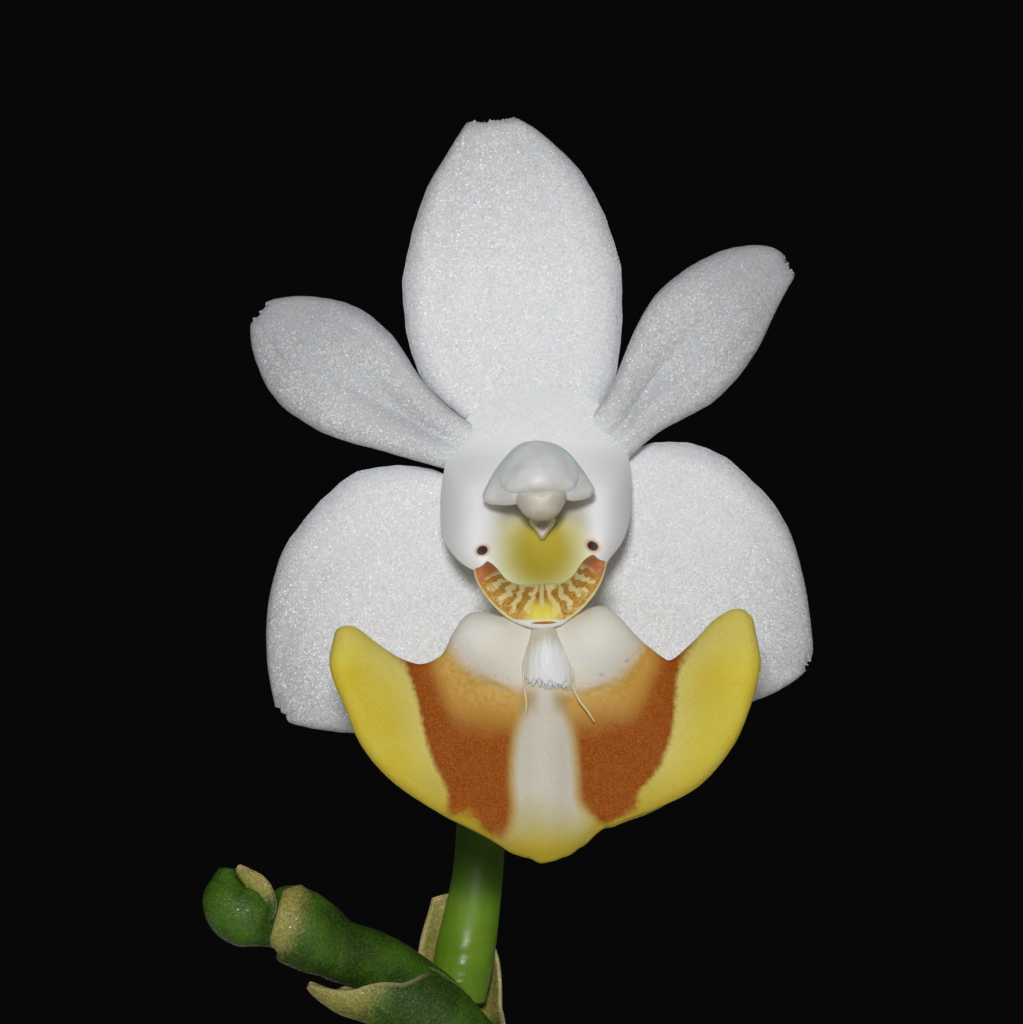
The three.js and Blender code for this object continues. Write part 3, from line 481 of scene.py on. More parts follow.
def move_corners(piece, x, y, z, origin=PLANT):
    """Moves the corners of a mesh to places in mm from origin."""
    at = (np.stack(np.broadcast_arrays(x, y, z), axis=1) + origin) * MM
    piece.data.vertices.foreach_set("co", at.astype(np.float32).ravel())
    piece.data.update()


def note(piece, name, values):
    """Writes a number at each corner of the mesh, for its material to read."""
    written = piece.data.attributes.new(name, "FLOAT", "POINT")
    written.data.foreach_set("value", np.asarray(values, np.float32))


def apply_modifier(piece, kind, **settings):
    bpy.context.view_layer.objects.active = piece
    modifier = piece.modifiers.new(kind.title(), kind)
    for key, value in settings.items():
        setattr(modifier, key, value)
    bpy.ops.object.modifier_apply(modifier=modifier.name)


def face_outwards(piece):
    put_down()
    piece.select_set(True)
    bpy.context.view_layer.objects.active = piece
    bpy.ops.object.mode_set(mode="EDIT")
    bpy.ops.mesh.select_all(action="SELECT")
    bpy.ops.mesh.normals_make_consistent(inside=False)
    bpy.ops.object.mode_set(mode="OBJECT")


def sheet(surface, length, width, thickness, edge, origin=FLOWER, notes=None):
    """A grid laid over surface(u, v) and given a thickness, with edge times that at its rim."""
    put_down()
    bpy.ops.mesh.primitive_grid_add(x_subdivisions=length, y_subdivisions=width, size=2)
    piece = bpy.context.object
    at = corners(piece)
    u, v = (at[:, 0] + 1) / 2, (at[:, 1] + 1) / 2
    x, y, z = surface(u, v)
    move_corners(piece, x, y, z, origin)
    rim = np.minimum(np.minimum(v, 1 - v) * 6, np.minimum(u, 1 - u) * 10)
    body = piece.vertex_groups.new(name="body")
    fullness = np.sqrt(np.clip(rim, 0, 1) * (2 - np.clip(rim, 0, 1)))
    for index, weight in enumerate(fullness):
        body.add([index], float(weight), "REPLACE")
    note(piece, "rim", np.minimum(rim, 3))
    for name, values in (notes(u, v, x, z) if notes else {}).items():
        note(piece, name, values)
    apply_modifier(piece, "SOLIDIFY", thickness=thickness * MM, offset=0, vertex_group="body",
                   thickness_vertex_group=edge)
    face_outwards(piece)
    return piece


def ball_corners(segments, rings):
    """A round primitive, with each corner's turn round its axis and share of the way from pole to pole."""
    put_down()
    bpy.ops.mesh.primitive_uv_sphere_add(segments=segments, ring_count=rings, radius=1)
    piece = bpy.context.object
    at = corners(piece)
    return piece, np.arctan2(at[:, 1], at[:, 0]), np.arccos(np.clip(-at[:, 2], -1, 1)) / math.pi


def tube(points, sides, rings, relief=None, origin=FLOWER, cap=0.5):
    """A round-ended stem through [x, y, z, radius] points. relief(t, turn) scales its radius."""
    piece, turn, t = ball_corners(sides, rings)
    steps = np.linspace(0, 1, rings + 1)
    line = along(points, steps)
    ahead = np.gradient(line[:, :3], axis=0)
    ahead /= np.linalg.norm(ahead, axis=1, keepdims=True)
    across = np.empty_like(ahead)
    side = np.array((1, 0.3, 0.1))
    for i, way in enumerate(ahead):
        side = side - way * side.dot(way)
        side /= np.linalg.norm(side)
        across[i] = side
    over = np.cross(ahead, across)
    ring = np.rint(t * rings).astype(int)
    length = np.linalg.norm(np.diff(line[:, :3], axis=0), axis=1).sum()
    reach = np.minimum(t, 1 - t) * length
    rounding = np.clip(reach / (cap * line[ring, 3]), 0, 1)
    radius = line[ring, 3] * np.sqrt(rounding * (2 - rounding)) * (relief(t, turn) if relief else 1)
    spoke = across[ring] * np.cos(turn)[:, None] + over[ring] * np.sin(turn)[:, None]
    move_corners(piece, *(line[ring, :3] + spoke * radius[:, None]).T, origin)
    note(piece, "way", t)
    face_outwards(piece)
    return piece


def lens(outline, front, back, segments, rings):
    """A closed solid inside an outline. front and back(share of the way out, x, z) give its depths."""
    piece, turn, t = ball_corners(segments, rings)
    out = np.sin(t * math.pi)
    rim = along(outline, (0.25 - turn / (2 * math.pi)) % 1, closed=True)
    centre = np.mean(outline, axis=0)
    x, z = (centre + (rim - centre) * out[:, None]).T
    near, far = front(out, x, z), back(out, x, z)
    on_rim = np.abs(t - 0.5) <= 1e-4
    move_corners(piece, x, np.where(on_rim, (near + far) / 2, np.where(t > 0.5, near, far)), z, FLOWER)
    face_outwards(piece)
    return piece


def join(pieces):
    put_down()
    for piece in pieces:
        piece.select_set(True)
    bpy.context.view_layer.objects.active = pieces[0]
    bpy.ops.object.join()
    return bpy.context.object


def hand_over(piece, name, node, finish, smooth=50):
    """Names a piece, shades it, and puts it in the frame in place of the node."""
    put_down()
    piece.name = piece.data.name = name
    piece.select_set(True)
    bpy.context.view_layer.objects.active = piece
    bpy.ops.object.shade_smooth_by_angle(angle=math.radians(smooth))
    piece.data.materials.clear()
    piece.data.materials.append(finish)
    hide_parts(node)
    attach(piece, "root")


class Value:
    """A number, colour or vector that varies over a surface. Arithmetic on it adds Math nodes."""

    def __init__(self, finish, socket):
        self.finish = finish
        self.socket = socket

    def math(self, operation, *others):
        return self.finish.math(operation, self, *others)

    def __add__(self, other):
        return self.math("ADD", other)

    def __sub__(self, other):
        return self.math("SUBTRACT", other)

    def __rsub__(self, other):
        return self.finish.math("SUBTRACT", other, self)

    def __mul__(self, other):
        return self.math("MULTIPLY", other)

    def __truediv__(self, other):
        return self.math("DIVIDE", other)

    def __pow__(self, other):
        return self.math("POWER", other)

    def __abs__(self):
        return self.math("ABSOLUTE")

    __radd__ = __add__
    __rmul__ = __mul__

    def ramp(self, low, high):
        """0 at low and 1 at high, smoothly between, whichever of the two is greater."""
        if low > high:
            return 1 - self.ramp(high, low)
        settings = {"interpolation_type": "SMOOTHSTEP"}
        return self.finish.node("MapRange", settings, {"Value": self, "From Min": low, "From Max": high})

    def tint(self, share, color):
        """This colour with a share of another laid over it."""
        return self.finish.mix(share, self, color)


class Finish:
    """A material put together node by node."""

    def __init__(self, name, **constants):
        self.material = bpy.data.materials.new(name)
        self.material.use_nodes = True
        self.tree = self.material.node_tree
        self.shader = self.tree.nodes["Principled BSDF"]
        for key, value in constants.items():
            self.give(self.shader.inputs[key.replace("_", " ")], value)

    def give(self, socket, value):
        if isinstance(value, Value):
            self.tree.links.new(value.socket, socket)
        elif socket.type == "RGBA":
            socket.default_value = (*value, 1)  # a colour's three parts, and full alpha
        else:
            socket.default_value = value

    def node(self, kind, settings=None, links=None, out=0):
        """Adds a node with its settings and the values of its sockets, and gives one of its outputs."""
        made = self.tree.nodes.new("ShaderNode" + kind)
        for key, value in (settings or {}).items():
            setattr(made, key, value)
        for key, value in (links or {}).items():
            self.give(made.inputs[key], value)
        return Value(self, made.outputs[out])

    def math(self, operation, *values):
        return self.node("Math", {"operation": operation}, dict(enumerate(values)))

    def move(self, operation, *vectors, scale=None):
        links = dict(enumerate(vectors))
        if scale is not None:
            links["Scale"] = scale
        return self.node("VectorMath", {"operation": operation}, links)

    def mix(self, share, a, b):
        return self.node("Mix", {"data_type": "RGBA"}, {0: share, 6: a, 7: b}, out=2)

    def place(self, origin=PLANT):
        """Where the surface is, in mm from origin."""
        here = self.node("TexCoord", out="Object")
        return self.move("SUBTRACT", self.move("SCALE", here, scale=1 / MM), tuple(origin))

    def split(self, vector):
        """The three parts of a vector or colour."""
        made = self.node("SeparateXYZ", links={0: vector}).socket.node
        return [Value(self, socket) for socket in made.outputs]

    def chart(self):
        """How far along and across its own sheet the surface is, from 0 to 1."""
        return self.split(self.node("UVMap"))[:2]

    def noted(self, name):
        """A number that note() wrote on the mesh."""
        return self.node("Attribute", {"attribute_name": name}, out="Fac")

    def noise(self, vector, scale, detail=3.0, roughness=0.5):
        links = {"Vector": vector, "Scale": scale, "Detail": detail, "Roughness": roughness}
        return self.node("TexNoise", None, links)

    def stretched(self, vector, *factors):
        return self.move("MULTIPLY", vector, factors)

    def bump(self, height, distance, strength, normal=None):
        links = {"Height": height, "Distance": distance * MM, "Strength": strength}
        if normal:
            links["Normal"] = normal
        return self.node("Bump", None, links)

    def wear(self, color, roughness=None, normal=None):
        """Gives the shader its colour, roughness and normal."""
        self.give(self.shader.inputs["Base Color"], color)
        if roughness is not None:
            self.give(self.shader.inputs["Roughness"], roughness)
        if normal is not None:
            self.give(self.shader.inputs["Normal"], normal)
        return self.material


def glitter(finish, at, lean, normal):
    """Flat cells that each lean their own way off the normal, and three random numbers for each cell."""
    draw = finish.node("TexVoronoi", None, {"Vector": at, "Scale": CELLS}, out="Color")
    way = finish.move("SCALE", finish.move("SUBTRACT", draw, (0.5, 0.5, 0.5)), scale=lean)
    return finish.move("NORMALIZE", finish.move("ADD", normal, way)), finish.split(draw)


def skin_of_tepal(colors):
    """White and glittering, greyer at the edge and where the flesh thins, with painted shade toward the tip
    and in a petal's channel, and painted highlights and glints on some of its cells.
    """
    finish = Finish("tepal skin", Subsurface_Weight=0.1, Subsurface_Scale=0.3 * MM)
    at = finish.place(FLOWER)
    v = finish.chart()[1]
    rim = finish.noted("rim")
    veins = finish.noise(finish.stretched(finish.node("UVMap"), 2.2, 34.0, 1.0), 1.0, 2.0)
    facing, (pick, hue, other) = glitter(finish, at, LEAN, finish.bump(veins, 0.04, 0.3))
    cloud = finish.noise(at, 0.9)
    grain = finish.noise(at, 11.0, 3.0, 0.7)
    # Thinner flesh and painted shade: greyer toward each tip and near the rim, where the surface turns from
    # the light
    thin = finish.noted("thin") + (cloud - 0.5) * 0.12 + rim.ramp(0.75, 0.0) * 0.3
    white = finish.mix(thin, colors.sepal, colors.sepal_thin)
    white = white.tint(grain.ramp(0.4, 0.7) * 0.22, colors.sepal_grey)
    white = white.tint(rim.ramp(0.22, 0.0) * 0.55, colors.sepal_edge)
    # Painted shade in the channel near a petal's base
    channel = abs(v - 0.5).ramp(0.3, 0.02) * finish.noted("channel")
    white = white.tint(channel * 0.3, colors.sepal_grey)
    # Painted highlight on random cells, less on thin grey flesh
    white = white.tint(other.ramp(0.1, 1.0) * 0.5 * (1 - thin * 0.6), colors.sepal_lit)
    # Painted glints: a few cells painted white, fewer near the rim and on grey flesh
    sparkle = pick.ramp(0.9, 0.99) * rim.ramp(0.1, 0.6) * (1 - thin.ramp(0.3, 1.3) * 0.75)
    white = white.tint(sparkle, colors.sparkle)
    rough = 0.6 - hue.ramp(0.6, 0.95) * 0.28
    return finish.wear(white, rough, facing)


def skin_of_column(colors):
    """Waxy white with a yellow hollow, two dark dots and a painted shadow under the hood's wings, glittering
    where it meets the petals, with painted highlights and glints there.
    """
    finish = Finish("column skin", Subsurface_Weight=0.2, Subsurface_Scale=0.5 * MM, Coat_Roughness=0.3)
    at = finish.place(FLOWER)
    x, _, z = finish.split(at)
    soft = finish.noise(at, 1.6)
    fine = finish.noise(at, 14.0, 2.0)
    color = finish.mix(soft, colors.column, colors.column_warm)
    wide, tall = x - HOLLOW[0], z - HOLLOW[1]
    reach = (wide * wide + tall * tall * 0.8) ** 0.5 + (soft - 0.5) * 0.2
    # Painted shadow under the hood's wings, on the cup above the hollow
    shade = abs(x - 0.03).ramp(1.5, 0.9) * z.ramp(-1.0, -0.5)
    color = color.tint(shade * z.ramp(0.2, 0.0) * 0.75, colors.column_shade)
    below = z.ramp(-0.15, -0.75)
    color = color.tint(reach.ramp(1.65, 0.85) * below, colors.hollow_pale)
    color = color.tint(reach.ramp(1.12, 0.45) * below, colors.hollow)
    for across, up, turn in EYES:
        a, b = x - across, z - up
        c, s = math.cos(turn), math.sin(turn)
        oval = ((a * c + b * s) / 0.15) ** 2 + ((b * c - a * s) / 0.118) ** 2 + (fine - 0.5) * 0.3
        color = color.tint(oval.ramp(3.4, 1.0) * 0.55, colors.eye_halo)
        color = color.tint(oval.ramp(1.45, 0.7), colors.eye)
    petal_like = (z + (soft - 0.5) * 1.2).ramp(0.9, 2.1)
    facing, (pick, _, other) = glitter(finish, at, petal_like * LEAN, finish.bump(fine, 0.012, 0.35))
    # Painted highlight on random cells where the column meets the petals
    color = color.tint(other.ramp(0.0, 1.0) * petal_like * 0.3, colors.sepal_lit)
    # Painted glints on a few cells where the column meets the petals
    color = color.tint(pick.ramp(0.9, 0.99) * petal_like, colors.sparkle)
    return finish.wear(color, 0.42 + soft * 0.15, facing)


def skin_of_cap(colors):
    """Thin greyish white, nearly clear at its rim."""
    finish = Finish("cap skin", Subsurface_Weight=0.3, Subsurface_Scale=0.6 * MM)
    at = finish.place(FLOWER)
    soft = finish.noise(at, 2.2)
    color = finish.mix(soft, colors.cap, colors.column)
    return finish.wear(color, 0.4 + soft * 0.1, finish.bump(finish.noise(at, 12.0), 0.01, 0.3))


def skin_of_nose(colors):
    """Beige flesh, greyer in the notch, with a small brown pit."""
    finish = Finish("nose skin", Subsurface_Weight=0.25, Subsurface_Scale=0.5 * MM)
    at = finish.place(FLOWER)
    x, _, z = finish.split(at)
    soft = finish.noise(at, 3.5)
    color = finish.mix(soft.ramp(0.3, 0.75), colors.nose, colors.nose_light)
    # Greyer toward the notch's lower part, in the colour of the painted shadow under the wings
    color = color.tint(z.ramp(-0.5, -0.62) * 0.3, colors.column_shade)
    pit = ((x - 0.07) / 0.13) ** 2 + ((z + 0.68) / 0.15) ** 2
    color = color.tint(pit.ramp(1.8, 0.3) * 0.45, colors.nose_pit)
    return finish.wear(color, 0.4 + soft * 0.1, finish.bump(soft, 0.03, 0.4))


def skin_of_lip(colors):
    """Yellow horns and rim, rust sides that fade to ochre at the top, a pale keel, and cream humps, with
    painted shadow under the callus fringe and a painted shadow line in the crease under the humps.
    """
    finish = Finish("lip skin", Subsurface_Weight=0.08, Subsurface_Scale=0.25 * MM,
                    Specular_IOR_Level=0.12)
    at = finish.place(FLOWER)
    x, _, z = finish.split(at)
    grain = finish.noise(at, 7.0, 4.0, 0.7)
    cloud = finish.noise(at, 0.8)
    speck = finish.noise(at, 20.0, 3.0, 0.8)
    side, rust, humps, rim = (finish.noted(name) for name in ("side", "rust", "humps", "rim"))
    rough_edge = (grain - 0.5) * 0.22 + (speck - 0.5) * 0.1

    yellow = finish.mix((cloud + (speck - 0.5) * 0.3).ramp(0.3, 0.7), colors.lip, colors.lip_deep)
    yellow = yellow.tint((side + (grain - 0.5) * 0.3).ramp(-1.0, 0.0) * 0.7, colors.lip_pale)
    yellow = yellow.tint(z.ramp(-4.6, -3.4) * 0.6, colors.lip_tip)
    yellow = yellow.tint(rim.ramp(0.4, 0.0) * 0.6, colors.lip_deep)

    middle = abs(x - 0.13)
    foot = (z + (cloud - 0.5) * 0.8).ramp(-9.2, -7.6)
    keel = finish.mix(foot, colors.keel_low, colors.keel)
    yellow = yellow.tint((z + (cloud - 0.5)).ramp(-6.4, -8.8), colors.lip_low)
    color = yellow.tint((middle + rough_edge).ramp(1.5, 0.8) * z.ramp(-9.5, -8.6), keel)

    brown = finish.mix(speck.ramp(0.36, 0.66), colors.rust, colors.rust_light)
    brown = brown.tint(grain.ramp(0.42, 0.7) * 0.4, colors.rust_dark)
    tan = finish.mix((grain + (cloud - 0.5)).ramp(0.35, 0.7), colors.ochre, colors.ochre_pale)
    depth = rust + middle.ramp(2.3, 3.7) + (grain - 0.5) * 0.4 + (cloud - 0.5) * 0.5
    flank = tan.tint(depth.ramp(-0.95, 0.45), brown)
    border = middle.ramp(1.5, 0.9)
    color = color.tint((side + rough_edge * (1 - border * 0.4)).ramp(-0.1, 0.12), flank)
    color = color.tint(border * abs(side).ramp(0.26, 0.02) * 0.65, colors.keel_edge)
    # Painted shadow cast by the callus fringe, in two patches beside the keel's top
    shade = abs(middle - 0.42).ramp(0.36, 0.08) * abs(z + 5.4).ramp(0.5, 0.1)
    color = color.tint(shade * 0.4, colors.keel_shade)

    color = color.tint(speck.ramp(0.4, 0.7) * 0.2, colors.crease)
    cream = finish.mix(cloud.ramp(0.35, 0.7), colors.hump, colors.hump_white)
    low = humps.ramp(0.6, 0.15)
    cream = cream.tint(low * 0.5, colors.keel)
    specks = finish.noise(at, 5.0, 4.0, 0.8)
    cream = cream.tint(low * specks.ramp(0.6, 0.68) * 0.6, colors.hump_blush)
    color = color.tint((humps + rough_edge).ramp(-0.36, 0.26), cream)
    # Painted shadow line in the crease under the humps' lower edge
    crease = abs(humps + 0.12).ramp(0.16, 0.0) * middle.ramp(0.6, 1.1) * middle.ramp(2.0, 1.4)
    color = color.tint(crease * 0.45, colors.crease)
    normal = finish.bump(speck * 0.6 + grain, 0.04, 0.5)
    return finish.wear(color, 0.6 + grain * 0.16, normal)


def skin_of_band(colors):
    """Golden brown, cut into bars by cream lines, solid at both tips, yellow at the foot."""
    finish = Finish("side lobe skin", Subsurface_Weight=0.06, Subsurface_Scale=0.15 * MM,
                    Specular_IOR_Level=0.25)
    at = finish.place(FLOWER)
    x, _, z = finish.split(at)
    u, v = finish.chart()
    speck = finish.noise(at, 16.0, 3.0, 0.75)
    wander = finish.noise(at, 2.6, 2.0)
    curl = finish.noise(at, 6.0, 2.0)
    middle = abs(u - 0.5)
    wave = ((middle * 12 + wander - 0.5 + v * 0.5) * math.tau).math("SINE")
    gold = finish.mix(speck.ramp(0.35, 0.65), colors.bar, colors.bar_dark)
    gold = gold.tint(middle.ramp(0.14, 0.05) * 0.8, colors.bar_bright)
    gold = gold.tint(middle.ramp(0.37, 0.41), colors.bar_tip)
    lines = (wave + curl - 0.5).ramp(-0.2, 0.4) * (v + (curl - 0.5) * 0.6).ramp(0.14, 0.32)
    lines = lines * middle.ramp(0.43, 0.39)
    color = gold.tint(lines * 0.9, colors.band_cream)
    net = abs(curl - 0.5).ramp(0.03, 0.01) * middle.ramp(0.36, 0.3)
    color = color.tint(net * 0.35, colors.band_cream)
    glow = (middle + (curl - 0.5) * 0.06).ramp(0.15, 0.04) * v.ramp(0.66, 0.36)
    color = color.tint(glow, colors.band_glow)
    color = color.tint((v + (wander - 0.5) * 0.05).ramp(0.11, 0.06), colors.band_cream)
    inner = (v + (curl - 0.5) * 0.14).ramp(0.84, 0.93) * middle.ramp(0.02, 0.09)
    color = color.tint(inner * middle.ramp(0.44, 0.38), colors.hollow_pale)
    parting = abs(x - 0.04).ramp(0.075, 0.04) * z.ramp(-2.95, -2.75)
    color = color.tint(parting, colors.band_cream)
    color = color.tint(z.ramp(-3.17, -3.25), colors.hump_white)
    slit = ((x - 0.1) / 0.34) ** 2 + ((z + 3.29 - x * 0.03) / 0.04) ** 2
    color = color.tint(slit.ramp(1.3, 0.6), colors.bar_dark)
    return finish.wear(color, 0.42 + speck * 0.15, finish.bump(speck, 0.03, 0.4))


def skin_of_callus(colors):
    """White fibres, beige where they thin at the sides."""
    finish = Finish("callus skin", Subsurface_Weight=0.2, Subsurface_Scale=0.4 * MM)
    at = finish.place(FLOWER)
    x, _, z = finish.split(at)
    fibres = finish.noise(finish.stretched(at, 9.0, 1.0, 0.8), 1.0, 3.0, 0.6)
    glow = ((x - 0.22) / 0.55) ** 2 + ((z + 4.5) / 0.7) ** 2
    color = finish.mix((glow + (fibres - 0.5) * 1.6).ramp(0.5, 1.7), colors.callus, colors.callus_beige)
    color = color.tint(z.ramp(-5.0, -5.2), colors.thread)
    return finish.wear(color, 0.45 + fibres * 0.15, finish.bump(fibres, 0.02, 0.4))


def skin_of_stalk(colors):
    """Green flesh with a glassy skin of tiny cells, light specks and painted glints, tan where a bract has
    dried.
    """
    finish = Finish("stalk skin", Specular_IOR_Level=0.35)
    at = finish.place(PLANT)
    cloud = finish.noise(at, 0.8)
    fine = finish.noise(at, 14.0, 3.0, 0.7)
    color = finish.mix(cloud.ramp(0.35, 0.68), colors.stalk_dark, colors.stalk)
    # Light green specks, partly painted glints
    color = color.tint(fine.ramp(0.48, 0.72) * 0.35, colors.stalk_light)
    dry = finish.noted("dry")
    tan = finish.mix(fine.ramp(0.3, 0.66), colors.dry_dark, colors.dry)
    color = color.tint((dry + (cloud - 0.5) * 0.9 + (fine - 0.5) * 0.5).ramp(0.25, 0.95), tan)
    color = color.tint(finish.noted("rim").ramp(0.3, 0.02) * dry.ramp(0.05, 0.3) * 0.35, colors.dry_rim)
    facing, (pick, hue, _) = glitter(finish, at, LEAN, finish.bump(cloud, 0.12, 0.3))
    # Painted glints on a few cells
    color = color.tint(pick.ramp(0.9, 0.99) * 0.35, colors.stalk_light)
    return finish.wear(color, 0.58 - hue.ramp(0.55, 0.95) * 0.3, facing)


def skin_of_pedicel(colors):
    """Bright smooth green and glossy, with a few faint cross wrinkles, and the lip's painted shadow
    darkening its top.
    """
    finish = Finish("pedicel skin", Specular_IOR_Level=0.3)
    at = finish.place(FLOWER)
    z = finish.split(at)[2]
    cloud = finish.noise(finish.stretched(at, 1.0, 1.0, 0.5), 1.2)
    fine = finish.noise(at, 12.0)
    color = finish.mix(cloud.ramp(0.35, 0.68), colors.pedicel, colors.pedicel_light)
    color = color.tint(fine.ramp(0.5, 0.75) * 0.25, colors.stalk)
    # Painted shadow of the lip: deeper green on the pedicel above where the lip's shadow ends
    color = color.tint(z.ramp(-11.4, -10.4) * 0.7, colors.stalk_dark)
    color = color.tint(z.ramp(-2.5, 0.5) * 0.8, colors.hollow_pale)
    rings = finish.noise(finish.stretched(at, 0.5, 0.5, 3.0), 1.0, 1.0)
    foot = z.ramp(-11.2, -12.4)
    normal = finish.bump(rings * foot, 0.12, 0.5, finish.bump(fine, 0.012, 0.4))
    return finish.wear(color, 0.5 - foot * 0.24 + fine * 0.1, normal)


def skin_of_leaf(colors):
    """Deep green leather, mottled, with a paler midrib and foot, faint long veins and a thin pale rim."""
    finish = Finish("leaf skin", Coat_Weight=0.25, Coat_Roughness=0.25)
    at = finish.place(PLANT)
    u, v = finish.chart()
    chart = finish.node("UVMap")
    mottle = finish.noise(at, 0.22, 5.0, 0.6)
    fine = finish.noise(at, 2.2, 4.0, 0.6)
    veins = finish.noise(finish.stretched(chart, 1.6, 46.0, 1.0), 1.0, 2.0)
    rib = abs(v - 0.5).ramp(0.045, 0.006)
    color = finish.mix(mottle.ramp(0.35, 0.68), colors.leaf, colors.leaf_light)
    color = color.tint(veins.ramp(0.5, 0.62) * 0.25, colors.leaf_light)
    color = color.tint(rib * 0.55, colors.leaf_rib)
    color = color.tint(u.ramp(0.16, 0.0) * 0.7, colors.leaf_rib)
    color = color.tint(finish.noted("rim").ramp(0.16, 0.0) * 0.6, colors.leaf_edge)
    color = color.tint(fine.ramp(0.62, 0.8) * 0.3, colors.leaf_dark)
    normal = finish.bump(veins * 0.6 + fine * 0.5, 0.18, 0.4)
    return finish.wear(color, 0.34 + fine * 0.22, normal)


def skin_of_stem(colors):
    """Green strands, brown where the stem enters the mix."""
    finish = Finish("stem skin", Specular_IOR_Level=0.4)
    at = finish.place(PLANT)
    strands = finish.noise(finish.stretched(at, 1.6, 1.6, 0.2), 1.0, 4.0)
    color = finish.mix(strands.ramp(0.35, 0.65), colors.stalk_dark, colors.leaf_rib)
    color = color.tint((finish.split(at)[2] + strands * 5).ramp(56.0, 51.0), colors.dry_dark)
    return finish.wear(color, 0.5 + strands * 0.2, finish.bump(strands, 0.4, 0.6))


def skin_of_root(colors):
    """Silver grey felt over green, brown in its pits, with a bare green tip."""
    finish = Finish("root skin", Specular_IOR_Level=0.35)
    at = finish.place(PLANT)
    way = finish.noted("way")
    cloud = finish.noise(at, 0.5, 4.0)
    felt = finish.noise(at, 4.0, 5.0, 0.75)
    color = finish.mix((cloud + (felt - 0.5) * 0.4).ramp(0.3, 0.7), colors.root_green, colors.root)
    color = color.tint(felt.ramp(0.6, 0.75) * 0.5, colors.root_white)
    color = color.tint(felt.ramp(0.42, 0.3) * 0.4, colors.dry_dark)
    color = color.tint((way + (cloud - 0.5) * 0.04).ramp(0.9, 0.945), colors.root_tip)
    return finish.wear(color, 0.86 - way.ramp(0.9, 0.95) * 0.5, finish.bump(felt + cloud, 0.3, 0.5))


def skin_of_bark(colors):
    """Fir bark: red brown layers, darker in the cracks, greyer where it has weathered."""
    finish = Finish("bark skin", Specular_IOR_Level=0.25)
    at = finish.place(PLANT)
    chip = finish.noted("chip")
    layers = finish.noise(finish.stretched(at, 0.5, 0.5, 2.4), 1.0, 5.0, 0.65)
    crumbs = finish.noise(at, 1.6, 6.0, 0.7)
    color = finish.mix(layers.ramp(0.32, 0.66), colors.bark, colors.bark_red)
    color = color.tint(chip * 0.55, colors.bark_pale)
    color = color.tint(crumbs.ramp(0.55, 0.75) * 0.6, colors.bark_pale)
    color = color.tint(crumbs.ramp(0.42, 0.28), colors.bark_dark)
    return finish.wear(color, 0.78 + crumbs * 0.18, finish.bump(layers + crumbs, 0.9, 0.8))


def skin_of_clay(colors):
    """Fired clay: fine grain, faint turning rings, pores, and a pale mineral bloom low on the wall."""
    finish = Finish("clay skin", Specular_IOR_Level=0.3)
    at = finish.place(PLANT)
    z = finish.split(at)[2]
    cloud = finish.noise(at, 0.06, 5.0, 0.6)
    grain = finish.noise(at, 3.0, 5.0, 0.75)
    rings = finish.noise(finish.stretched(at, 0.02, 0.02, 1.3), 1.0)
    pores = finish.node("TexVoronoi", None, {"Vector": at, "Scale": 0.9})
    color = finish.mix(cloud.ramp(0.3, 0.7), colors.clay, colors.clay_light)
    color = color.tint(grain.ramp(0.5, 0.75) * 0.4, colors.clay_dark)
    bloom = (cloud + (grain - 0.5) * 0.5).ramp(0.5, 0.7) * z.ramp(40.0, 6.0)
    color = color.tint(bloom * 0.45, colors.clay_bloom)
    color = color.tint(pores.ramp(0.16, 0.05) * 0.5, colors.clay_dark)
    normal = finish.bump(rings, 0.35, 0.5, finish.bump(grain - pores.ramp(0.2, 0.05), 0.2, 0.5))
    return finish.wear(color, 0.82 + grain * 0.12, normal)


def color_property(name, description, color):
    return bpy.props.FloatVectorProperty(name=name.replace("_", " ").capitalize(), description=description,
                                         subtype="COLOR", size=3, min=0, max=1, default=seen(*color))


class OrchidSizes(bpy.types.PropertyGroup):
    """Sizes that a user would change."""

    tepal_thickness: bpy.props.FloatProperty(
        name="Tepal thickness", description="Sepals and petals, mm", default=0.34)
    lip_thickness: bpy.props.FloatProperty(
        name="Lip thickness", description="Fleshy middle lobe, mm", default=0.62)
    leaf_thickness: bpy.props.FloatProperty(
        name="Leaf thickness", description="At the middle of a leaf, mm", default=1.2)
    bark_chips: bpy.props.IntProperty(
        name="Bark chips", description="Chips on top of the mix", default=150, min=1)
    fringe: bpy.props.IntProperty(
        name="Fringe threads", description="Short threads under the callus", default=34, min=0)
    floor_radius: bpy.props.FloatProperty(
        name="Floor radius", description="Radius of the floor", default=1.2, unit="LENGTH")
    camera_reach: bpy.props.FloatProperty(
        name="Camera distance", description="From the lens to the flower", default=0.3, unit="LENGTH")


class OrchidColors(bpy.types.PropertyGroup):
    """Colours of every surface."""

    __annotations__ = {name: color_property(name, *row) for name, row in COLORS.items()}


class OrchidTool:
    """What the operators share."""

    bl_options = {"REGISTER", "UNDO"}

    @property
    def sizes(self):
        return bpy.context.scene.orchid_sizes

    @property
    def colors(self):
        return bpy.context.scene.orchid_colors


